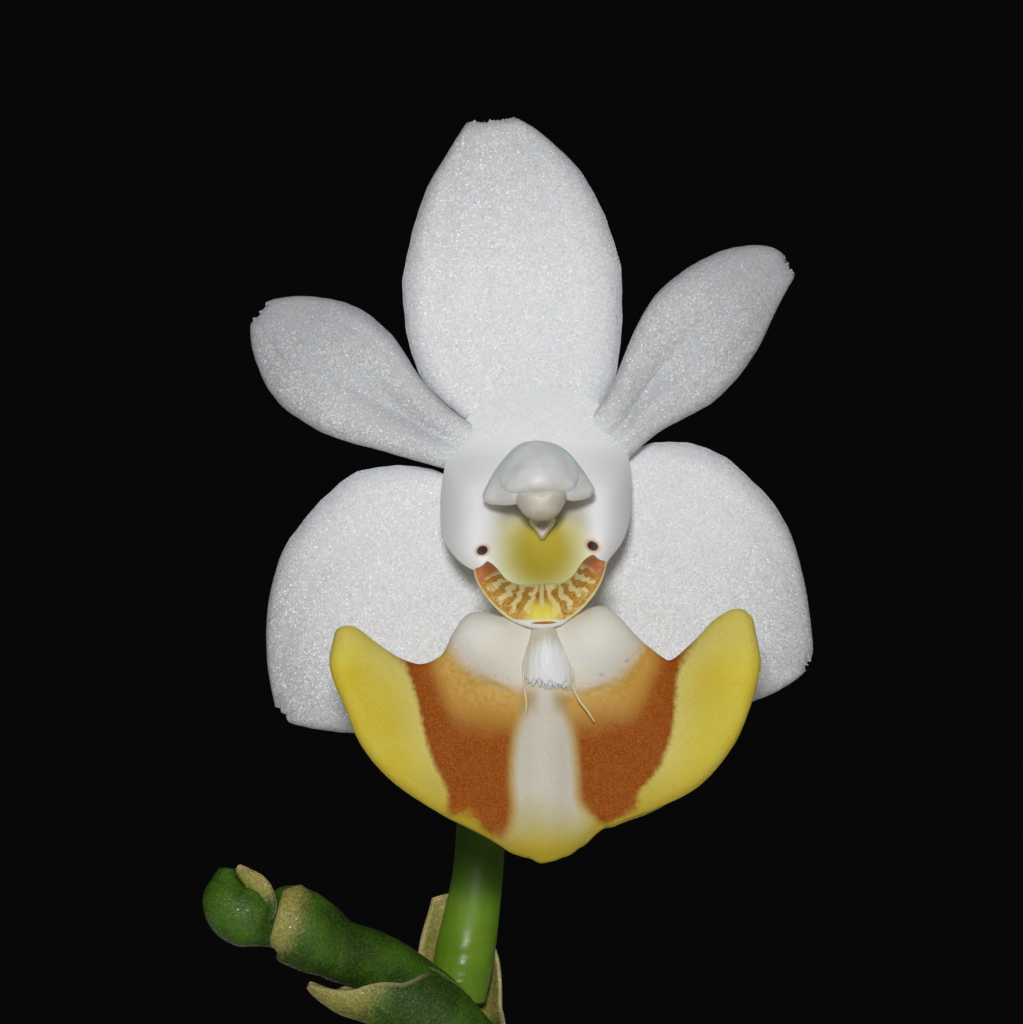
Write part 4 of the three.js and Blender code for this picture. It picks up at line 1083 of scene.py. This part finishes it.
class ORCHID_OT_tepals(OrchidTool, bpy.types.Operator):
    """Make the three sepals and two petals"""

    bl_idname = "orchid.tepals"
    bl_label = "Sepals and Petals"

    def execute(self, context):
        finish = skin_of_tepal(self.colors)
        for seed, (name, (depth, thinning_and_shade, low, high)) in enumerate(TEPALS.items()):
            base, lean, turn_back, channel = depth
            thin, tip_thinning_and_shade = thinning_and_shade
            sunk = 0.3 if name.endswith("petal") else 0

            def surface(u, v):
                side = 2 * v - 1
                ragged = 0.0075 * smoothstep(np.abs(side), 0.8, 1) * ripple(u, seed, (9, 17, 37))
                a, b = eased(low, u), eased(high, u)
                x, z = (a + (b - a) * (v + ragged * np.sign(side))[:, None]).T
                tear = 0.09 * smoothstep(u, 0.985, 1) * ripple(v, seed + 20, (5, 11, 23))
                x, z = np.array((x, z)) * (1 + tear / np.hypot(x, z))
                groove = channel * np.exp(-((side / 0.35) ** 2))
                groove = groove * smoothstep(u, 0.1, 0.3) * (1 - smoothstep(u, 0.35, 0.8))
                ribs = 0.012 * np.sin(side * 16) * np.sin(math.pi * u)
                sway = 0.05 * np.sin(4.2 * u + 1.7 * side + seed)
                curl = turn_back * side**2 * np.sin(math.pi * np.clip(u, 0.05, 0.95))
                rolled = 0.1 * smoothstep(np.abs(side), 0.86, 1)
                sink = sunk * (1 - smoothstep(u, 0, 0.3))
                return x, base + lean * u**1.6 + sink + curl + rolled + groove + ribs + sway, z

            def notes(u, v, x, z):
                hold = min(channel * 3, 1) * smoothstep(u, 0.05, 0.25) * (1 - smoothstep(u, 0.45, 0.9))
                # Grey rising from the base and more toward the tip: thinner flesh, and painted shade where
                # the tip turns from the light
                flesh = thin * smoothstep(u, 0, 0.25) + tip_thinning_and_shade * smoothstep(u, 0.42, 0.98)
                return {"channel": hold, "thin": flesh}

            piece = sheet(surface, 84, 52, self.sizes.tepal_thickness, 0.35, notes=notes)
            hand_over(piece, f"{name}_skin", name, finish)
        return {"FINISHED"}


def hood_front(x, z):
    """How far forward the column's hood stands: one dome with a flap to each side."""
    edge = 1 - np.clip(distance_inside(x, z, HOOD) / 0.95, 0, 1)
    return -3.25 - 0.45 * np.sqrt(1 - edge**2) - bump(x, z, -0.03, 0.42, 0.95, 0.95)


class ORCHID_OT_column(OrchidTool, bpy.types.Operator):
    """Make the cup, hood, nose and notch of the column, and the neck that holds them"""

    bl_idname = "orchid.column"
    bl_label = "Column"

    def execute(self, context):
        waxy = skin_of_column(self.colors)
        hand_over(self.cup(), "column_cup", "column", waxy)
        hood = lens(HOOD, lambda out, x, z: hood_front(x, z), lambda out, x, z: -2.7 - 0.5 * out**2, 128, 64)
        hand_over(hood, "column_hood", "column", skin_of_cap(self.colors))
        hand_over(self.nose(), "column_nose", "column", skin_of_nose(self.colors))
        shaft = join([tube(NECK, 40, 28, cap=0.15), tube(SPINE, 36, 24)])
        hand_over(shaft, "column_shaft", "column", waxy)
        return {"FINISHED"}

    def cup(self):
        """The cup comes forward to its foot, its cheeks swell, and its top falls back to the petals."""
        def slopes(z):
            return smoothstep(-z, -0.3, 3.0), smoothstep(z, 0.25, 1.5)

        def face(out, x, z):
            lift, top = slopes(z)
            cheeks = 0.8 * (bump(x, z, -1.85, -0.4, 1.05, 1.2) + bump(x, z, 1.72, -0.35, 1.05, 1.2))
            cavity = 0.7 * bump(x, z, HOLLOW[0], HOLLOW[1] + 0.1, 0.95, 1.0)
            skirt = 1.5 * top * out**1.5 + (1 - top) * (1.05 - 0.5 * lift) * out**6
            return -1.5 - 2.6 * lift - cheeks + cavity + skirt

        def behind(out, x, z):
            lift, top = slopes(z)
            return -0.65 - 1.6 * lift * out**2 + 1.25 * top * out**2

        return lens(CUP, face, behind, 160, 96)

    def nose(self):
        """The two-lobed nose, and the notched point below it with its small pit."""
        def front(out, x, z):
            lobes = 0.04 * (bump(x, 0, -0.28, 0, 0.16, 1) + bump(x, 0, 0.3, 0, 0.16, 1))
            return -3.6 - 0.8 * np.sqrt(np.clip(1 - out**2, 0, 1)) - lobes

        def point(out, x, z):
            pit = 0.05 * bump(x, z, 0.055, -0.7, 0.15, 0.17)
            return -2.35 - 0.03 * smoothstep(out, 0.3, 0.8) + 0.3 * out**6 + pit

        nose = lens(NOSE, front, lambda out, x, z: np.full_like(x, -2.9), 80, 48)
        return join([nose, lens(NOTCH, point, lambda out, x, z: np.full_like(x, -1.7), 64, 40)])


class ORCHID_OT_cap(OrchidTool, bpy.types.Operator):
    """Make the anther cap"""

    bl_idname = "orchid.cap"
    bl_label = "Anther Cap"

    def execute(self, context):
        def dome(out, x, z):
            rise = 0.04 + 0.07 * smoothstep(-z, -0.8, -0.25)
            return hood_front(x, z) - rise * np.sqrt(np.clip(1 - out**6, 0, 1))

        piece = lens(CAP, dome, lambda out, x, z: hood_front(x, z) + 0.2 - 0.18 * out**8, 96, 56)
        hand_over(piece, "anther_cap_skin", "anther_cap", skin_of_cap(self.colors))
        return {"FINISHED"}


def lip_depth(x, z):
    """How far forward the lip's middle lobe stands."""
    out = np.abs(x - 0.1)
    hump = 0.65 * bump(out, z, 1.45, -3.65, 0.95, 0.85)
    hollow = 0.55 * bump(out, z, 2.3, -6.2, 1.3, 1.8)
    horn = 0.9 * smoothstep(out, 3.2, 5.6) * smoothstep(z, -8.5, -4)
    keel = 0.3 * bump(out, z, 0, -7, 0.5, 2.2)
    return -4.5 - hump + hollow - horn - keel - 0.3 * smoothstep(-z, 7.5, 9.5)


def within(edges, u, v):
    """Right and up of a place between two edges: u along them, v from the first to the second."""
    a, b = (along(edge, u) for edge in edges)
    return (a + (b - a) * v[:, None]).T


class ORCHID_OT_lip(OrchidTool, bpy.types.Operator):
    """Make the lip: its middle lobe, its claw, the band of its side lobes and its callus"""

    bl_idname = "orchid.lip"
    bl_label = "Lip"

    def execute(self, context):
        colors = self.colors
        hand_over(self.middle_lobe(), "lip_middle_lobe", "lip", skin_of_lip(colors))
        hand_over(tube(CLAW, 28, 16), "lip_claw", "lip", skin_of_cap(colors))
        hand_over(self.side_lobes(), "lip_side_lobes", "lip", skin_of_band(colors))
        hand_over(join([self.callus(), *self.fringe()]), "lip_callus", "lip", skin_of_callus(colors))
        return {"FINISHED"}

    def middle_lobe(self):
        def surface(u, v):
            x, z = within(LIP_EDGES, u, v)
            scallop = bump(x, 0, 0.6, 0, 1.5, 1) * (1 - smoothstep(v, 0, 0.06))
            z = z + 0.075 * scallop * ripple(x, 5, (2, 3, 5))
            recurve = 0.3 * (1 - smoothstep(v, 0, 0.1)) + 0.12 * smoothstep(v, 0.93, 1)
            ends = 0.25 * smoothstep(np.abs(2 * u - 1), 0.93, 1)
            sway = 0.05 * np.sin(1.7 * x + 0.8 * z)
            return x, lip_depth(x, z) + recurve + ends + sway, z

        def notes(u, v, x, z):
            fields = {"side": SIDES, "rust": RUST, "humps": (HUMPS,)}
            return {name: np.max([distance_inside(x, z, part) for part in parts], axis=0)
                    for name, parts in fields.items()}

        return sheet(surface, 190, 84, self.sizes.lip_thickness, 0.5, notes=notes)

    def side_lobes(self):
        def surface(u, v):
            x, z = within(BAND_EDGES, u, v)
            bend = -4.98 + v**1.5 - 0.2 * np.sin(math.pi * v)
            curls = bump(x, 0, -0.22, 0, 0.12, 1) + bump(x, 0, 0.34, 0, 0.12, 1)
            curls = 0.16 * smoothstep(v, 0.6, 1) * curls
            groove = 0.1 * bump(x, 0, 0.05, 0, 0.06, 1) * smoothstep(v, 0.3, 0.8)
            return x, bend - curls + groove + 0.02 * ripple(u, 3, (19, 31)), z

        return sheet(surface, 150, 34, THICK["band"], 0.5)

    def callus(self):
        def surface(u, v):
            x, z = within(CALLUS_EDGES, u, v)
            fibres = 0.012 * np.abs(np.sin(9 * math.pi * v + 0.9 * ripple(u, 8))) * smoothstep(u, 0.05, 0.4)
            torn = 0.08 * smoothstep(u, 0.8, 1) * ripple(v, 4, (7, 12, 19))
            crown = (0.12 + 0.34 * np.sin(math.pi * (0.1 + 0.75 * u))) * np.sin(math.pi * v) ** 0.8
            return x, -4.75 - 0.15 * u - crown - fibres, z + torn

        return sheet(surface, 56, 72, THICK["callus"], 0.3)

    def fringe(self):
        """Short threads side by side under the callus, and its loose long ones."""
        draw = random.Random(11)
        threads = []
        for k in range(self.sizes.fringe):
            share = (k + draw.uniform(0.2, 0.8)) / self.sizes.fringe
            x = -0.42 + 1.26 * share
            foot = -4.68 - 0.18 * share
            root = -4.88 - 0.27 * math.sin(math.pi * share) ** 0.8
            drop = draw.uniform(0.04, 0.16)
            lean = draw.uniform(-0.06, 0.06)
            middle = (x + lean * 0.5, root, foot - 0.14, 0.026)
            tip = (x + lean, root + 0.06, foot - 0.16 - drop, 0.01)
            threads.append(tube([(x, root, foot, 0.034), middle, tip], 8, 12))
        for thread in THREADS:
            radii = [0.05, *[0.03] * (len(thread) - 2), 0.016]
            threads.append(tube([(*p, r) for p, r in zip(thread, radii)], 10, 48))
        return threads


def blade(u, v, spine, side, half_width, fold, wave):
    """A leaf's surface: each half folds up from the spine by fold, and its edge waves a little."""
    line = along(spine, u)
    step = 1e-3
    ahead = along(spine, np.minimum(u + step, 1)) - along(spine, np.maximum(u - step, 0))
    ahead /= np.linalg.norm(ahead, axis=1, keepdims=True)
    across = side - ahead * (ahead @ side)[:, None]
    across /= np.linalg.norm(across, axis=1, keepdims=True)
    up = np.cross(ahead, across)
    s = 2 * v - 1
    rise = half_width * (1 - np.cos(fold * s)) / fold + wave * s * s * np.sin(9 * u + 2 * s)
    out = half_width * np.sin(fold * s) / fold
    return (line + across * out[:, None] + up * rise[:, None]).T


def bract(points, side, widths, folds, dried, origin=FLOWER):
    """A thin leaf that clasps a stem, with its half widths and folds from foot to tip."""
    places = np.linspace(0, 1, len(widths))

    def surface(u, v):
        width, fold = (curve_value(list(zip(places, values)), u) for values in (widths, folds))
        return blade(u, v, points, np.array(side, float), width, fold, 0.05)

    def notes(u, v, x, z):
        dry = smoothstep(u, 1 - dried - 0.3, 1 - dried + 0.3)
        edges = 0.5 * smoothstep(np.abs(2 * v - 1), 0.75, 1) * smoothstep(u, 0.3, 0.5)
        return {"dry": np.maximum(dry, edges)}

    return sheet(surface, 36, 28, THICK["bract"], 0.35, origin=origin, notes=notes)


class ORCHID_OT_stalk(OrchidTool, bpy.types.Operator):
    """Make the flower stalk with its bracts, and the pedicel"""

    bl_idname = "orchid.stalk"
    bl_label = "Flower Stalk"

    def execute(self, context):
        def relief(t, turn):
            return 1 + 0.02 * ripple(t, 2) + 0.012 * np.sin(3 * turn + 40 * t)

        end = [(*(FLOWER + at), radius) for *at, radius in STALK_END]
        stalk = tube([*STALK_FOOT, *end], 48, 280, relief, origin=PLANT, cap=0.8)
        bracts = [bract(*shape, origin=PLANT) for shape in LOW_BRACTS]
        bracts += [bract(*shape) for shape in END_BRACTS]
        stalk = join([stalk, *bracts])
        hand_over(stalk, "flower_stalk_skin", "flower_stalk", skin_of_stalk(self.colors))
        pedicel = tube(PEDICEL, 48, 140, lambda t, turn: 1 + 0.008 * ripple(t, 6), cap=0.4)
        hand_over(pedicel, "pedicel_skin", "pedicel", skin_of_pedicel(self.colors))
        return {"FINISHED"}


class ORCHID_OT_leaves(OrchidTool, bpy.types.Operator):
    """Make the stem and its leaves"""

    bl_idname = "orchid.leaves"
    bl_label = "Leaves"

    def execute(self, context):
        finish = skin_of_leaf(self.colors)
        for name, (turn, half, spine) in LEAVES.items():
            angle = math.radians(turn)
            line = [(out * math.cos(angle), out * math.sin(angle), up) for out, up in spine]
            side = np.array((-math.sin(angle), math.cos(angle), 0))
            widths = [*LEAF_FOOT, *((at, share * half) for at, share in LEAF_WIDTHS)]

            def surface(u, v):
                most = np.where((half < 10) & (u < 0.3), 3.4 + 8 * u, half)
                fold = 0.16 + 0.86 * (1 - smoothstep(u, 0.04, 0.42))
                x, y, z = blade(u, v, line, side, np.minimum(curve_value(widths, u), most), fold, 0.5)
                crease = 0.35 * np.exp(-(((2 * v - 1) * half / 1.1) ** 2))
                return x, y, z - crease * smoothstep(u, 0.1, 0.3) * (1 - smoothstep(u, 0.9, 1))

            piece = sheet(surface, 90, 44, self.sizes.leaf_thickness, 0.4, origin=PLANT)
            hand_over(piece, f"{name}_skin", name, finish)

        def rings(t, turn):
            return 1 - 0.04 * np.abs(np.sin(9 * math.pi * t))

        rise = [(0, 0, height, radius) for radius, height in STEM if radius > 0]
        stem = tube(rise, 48, 60, rings, origin=PLANT, cap=0.3)
        hand_over(stem, "stem_skin", "stem", skin_of_stem(self.colors))
        return {"FINISHED"}


class ORCHID_OT_roots(OrchidTool, bpy.types.Operator):
    """Make the aerial roots"""

    bl_idname = "orchid.roots"
    bl_label = "Roots"

    def execute(self, context):
        finish = skin_of_root(self.colors)
        for seed, (name, (turn, drift, radius, line)) in enumerate(ROOTS.items()):
            points = []
            for i, (out, up) in enumerate(line):
                share = i / (len(line) - 1)
                angle = math.radians(turn + drift * share * share)
                thick = radius * (0.55 if share == 1 else 1)
                points.append((out * math.cos(angle), out * math.sin(angle), up, thick))

            def relief(t, way):
                return 1 + 0.035 * ripple(t, seed, (11, 23, 41, 67)) + 0.03 * np.sin(2 * way + 12 * t + seed)

            piece = tube(points, 28, 150, relief, origin=PLANT, cap=1.6)
            hand_over(piece, f"{name}_skin", name, finish)
        return {"FINISHED"}


class ORCHID_OT_bark(OrchidTool, bpy.types.Operator):
    """Make the bark mix: a bed, and chips heaped on it"""

    bl_idname = "orchid.bark"
    bl_label = "Bark"

    def execute(self, context):
        draw = random.Random(7)
        bed = turned(BED, 72)
        note(bed, "chip", np.zeros(len(bed.data.vertices)))
        pieces = [bed]
        patterns = [self.chip(seed) for seed in range(4)]
        count = self.sizes.bark_chips
        near, far = CHIP_RINGS
        for k in range(count):
            out = near + (far - near) * math.sqrt((k + 0.5) / count)
            angle = math.radians(CHIP_TURN * k)
            size = (draw.uniform(2.6, 4.6), draw.uniform(1.9, 3.2), draw.uniform(0.8, 1.4))
            tilt = (draw.gauss(0, 0.28), draw.gauss(0, 0.28), draw.uniform(0, 6.3))
            at = (out * math.cos(angle), out * math.sin(angle), CHIP_HEIGHT + draw.uniform(-0.6, 0.9))
            pieces.append(self.copy_of(patterns[k % len(patterns)], size, tilt, at, draw.random()))
        for pattern in patterns:
            bpy.data.objects.remove(pattern)
        mix = join(pieces)
        self.fit(mix)
        hand_over(mix, "bark_mix_chips", "bark_mix", skin_of_bark(self.colors), 35)
        return {"FINISHED"}

    def chip(self, seed):
        """A broken chip, 2 across, made from a cut and roughened block."""
        put_down()
        bpy.ops.mesh.primitive_cube_add(size=2)
        bpy.ops.object.mode_set(mode="EDIT")
        bpy.ops.mesh.select_all(action="SELECT")
        bpy.ops.mesh.subdivide(number_cuts=2, fractal=0.55, seed=seed)
        bpy.ops.mesh.bevel(offset=0.06, segments=1)
        bpy.ops.object.mode_set(mode="OBJECT")
        return bpy.context.object

    def copy_of(self, pattern, size, tilt, at, shade):
        piece = pattern.copy()
        piece.data = pattern.data.copy()
        bpy.context.collection.objects.link(piece)
        points = corners(piece) * size
        for axis, angle in enumerate(tilt):
            plane = [i for i in range(3) if i != axis]
            c, s = math.cos(angle), math.sin(angle)
            points[:, plane] = points[:, plane] @ ((c, s), (-s, c))
        move_corners(piece, *points.T, np.array(at))
        note(piece, "chip", np.full(len(points), shade))
        return piece

    def fit(self, mix):
        """Keeps the chips inside the pot's wall, and hardly above the frame's mix."""
        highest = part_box("bark_mix")[1][2] / MM + 0.4
        x, y, z = (corners(mix) / MM).T
        wall = WALL["radius"] + (z - WALL["height"]) * WALL["slope"]
        pull = np.minimum(1, wall / np.maximum(np.hypot(x, y), 1e-6))
        move_corners(mix, x * pull, y * pull, np.minimum(z, highest))


def turned(profile, sides):
    """A round solid: a thin drum whose top is pulled up and widened along [radius, height] pairs."""
    put_down()
    radius, height = profile[0]
    place = (0, 0, height * MM)
    bpy.ops.mesh.primitive_cylinder_add(vertices=sides, radius=radius * MM, depth=0.02 * MM, location=place)
    piece = bpy.context.object
    bpy.ops.object.transform_apply(location=True)
    bpy.ops.object.mode_set(mode="EDIT")
    bpy.ops.mesh.select_mode(type="FACE")
    bpy.ops.mesh.select_all(action="DESELECT")
    bpy.ops.object.mode_set(mode="OBJECT")
    max(piece.data.polygons, key=lambda face: face.center.z + face.normal.z).select = True
    bpy.ops.object.mode_set(mode="EDIT")
    for wide, high in profile[1:]:
        bpy.ops.mesh.extrude_region_move(TRANSFORM_OT_translate={"value": (0, 0, (high - height) * MM)})
        share = wide / radius
        bpy.ops.transform.resize(value=(share, share, 1), center_override=(0, 0, high * MM))
        radius, height = wide, high
    bpy.ops.object.mode_set(mode="OBJECT")
    return piece


class ORCHID_OT_pot(OrchidTool, bpy.types.Operator):
    """Make the clay pot"""

    bl_idname = "orchid.pot"
    bl_label = "Pot"

    def execute(self, context):
        pot = turned(POT, 96)
        bend = math.radians(25)
        apply_modifier(pot, "BEVEL", width=0.5 * MM, segments=3, limit_method="ANGLE", angle_limit=bend)
        radius, ring, count = (DRAIN[key] for key in ("radius", "ring", "count"))
        for k in range(count):
            angle = math.radians(45 + 360 * k / count)
            put_down()
            spot = np.array((ring * math.cos(angle), ring * math.sin(angle), 2)) * MM
            size = {"radius": radius * MM, "depth": 12 * MM}
            bpy.ops.mesh.primitive_cylinder_add(vertices=40, location=spot, **size)
            drill = bpy.context.object
            apply_modifier(pot, "BOOLEAN", operation="DIFFERENCE", object=drill, solver="EXACT")
            bpy.data.objects.remove(drill)
        hand_over(pot, "pot_clay", "pot", skin_of_clay(self.colors), 30)
        return {"FINISHED"}


class ORCHID_OT_stage(OrchidTool, bpy.types.Operator):
    """Set the floor, lights and camera"""

    bl_idname = "orchid.stage"
    bl_label = "Stage"

    def execute(self, context):
        scene = context.scene
        put_down()
        bpy.ops.mesh.primitive_circle_add(vertices=128, radius=self.sizes.floor_radius, fill_type="NGON")
        floor = context.object
        floor.name = "floor"
        paint = Finish("floor paint", Roughness=0.7)
        grain = paint.noise(paint.place(), 0.02)
        floor.data.materials.append(paint.wear(paint.mix(grain * 0.1, self.colors.floor, (0.7, 0.7, 0.7))))

        scene.world = bpy.data.worlds.new("studio")
        scene.world.use_nodes = True
        background = scene.world.node_tree.nodes["Background"]
        background.inputs["Color"].default_value = (*self.colors.backdrop, 1)
        for name, (offset, size, power) in LAMPS.items():
            self.lamp(name, offset, size, power)
        self.camera()
        scene.view_settings.view_transform = "Standard"
        return {"FINISHED"}

    def lamp(self, name, offset, size, power):
        """A square soft light turned to the flower. Those behind it leave no glints."""
        data = bpy.data.lights.new(name, "AREA")
        data.size = size * MM
        data.energy = power
        lamp = bpy.data.objects.new(name, data)
        bpy.context.scene.collection.objects.link(lamp)
        lamp.location = (FLOWER + offset) * MM
        lamp.visible_camera = False
        lamp.visible_glossy = offset[1] < 0
        way = Vector(tuple(FLOWER * MM)) - lamp.location
        lamp.rotation_euler = way.to_track_quat("-Z", "Y").to_euler()

    def camera(self):
        """A level camera before the flower that frames what the photograph frames, at its scale."""
        across = (PHOTO_MIDDLE[0] - FLOWER_PIXEL[0]) / PIXELS_PER_MM
        up = (FLOWER_PIXEL[1] - PHOTO_MIDDLE[1]) / PIXELS_PER_MM
        reach = self.sizes.camera_reach
        camera = bpy.data.objects.new("camera", bpy.data.cameras.new("camera"))
        bpy.context.scene.collection.objects.link(camera)
        bpy.context.scene.camera = camera
        camera.location = (FLOWER + (across, FACE, up)) * MM - (0, reach, 0)
        camera.rotation_euler = (math.pi / 2, 0, 0)
        camera.data.sensor_width = SENSOR
        camera.data.lens = SENSOR * reach / (PHOTO_WIDTH / PIXELS_PER_MM * MM)
        camera.data.clip_start = 0.01


class ORCHID_PT_pieces(bpy.types.Panel):
    """The pieces of the plant"""

    bl_label = "Potted Orchid"
    bl_space_type = "VIEW_3D"
    bl_region_type = "UI"
    bl_category = "Orchid"

    def draw(self, context):
        for operator in OPERATORS:
            self.layout.operator(operator.bl_idname)
        for name in OrchidSizes.__annotations__:
            self.layout.prop(context.scene.orchid_sizes, name)


OPERATORS = (
    ORCHID_OT_pot,
    ORCHID_OT_bark,
    ORCHID_OT_roots,
    ORCHID_OT_leaves,
    ORCHID_OT_stalk,
    ORCHID_OT_tepals,
    ORCHID_OT_column,
    ORCHID_OT_cap,
    ORCHID_OT_lip,
    ORCHID_OT_stage,
)
CLASSES = (OrchidSizes, OrchidColors, *OPERATORS, ORCHID_PT_pieces)


def register():
    for made in CLASSES:
        bpy.utils.register_class(made)
    bpy.types.Scene.orchid_sizes = bpy.props.PointerProperty(type=OrchidSizes)
    bpy.types.Scene.orchid_colors = bpy.props.PointerProperty(type=OrchidColors)


def unregister():
    del bpy.types.Scene.orchid_colors
    del bpy.types.Scene.orchid_sizes
    for made in reversed(CLASSES):
        bpy.utils.unregister_class(made)


def main():
    register()
    bpy.ops.orchid.pot()
    bpy.ops.orchid.bark()
    bpy.ops.orchid.roots()
    bpy.ops.orchid.leaves()
    bpy.ops.orchid.stalk()
    bpy.ops.orchid.tepals()
    bpy.ops.orchid.column()
    bpy.ops.orchid.cap()
    bpy.ops.orchid.lip()
    bpy.ops.orchid.stage()


if __name__ == "__main__":
    main()
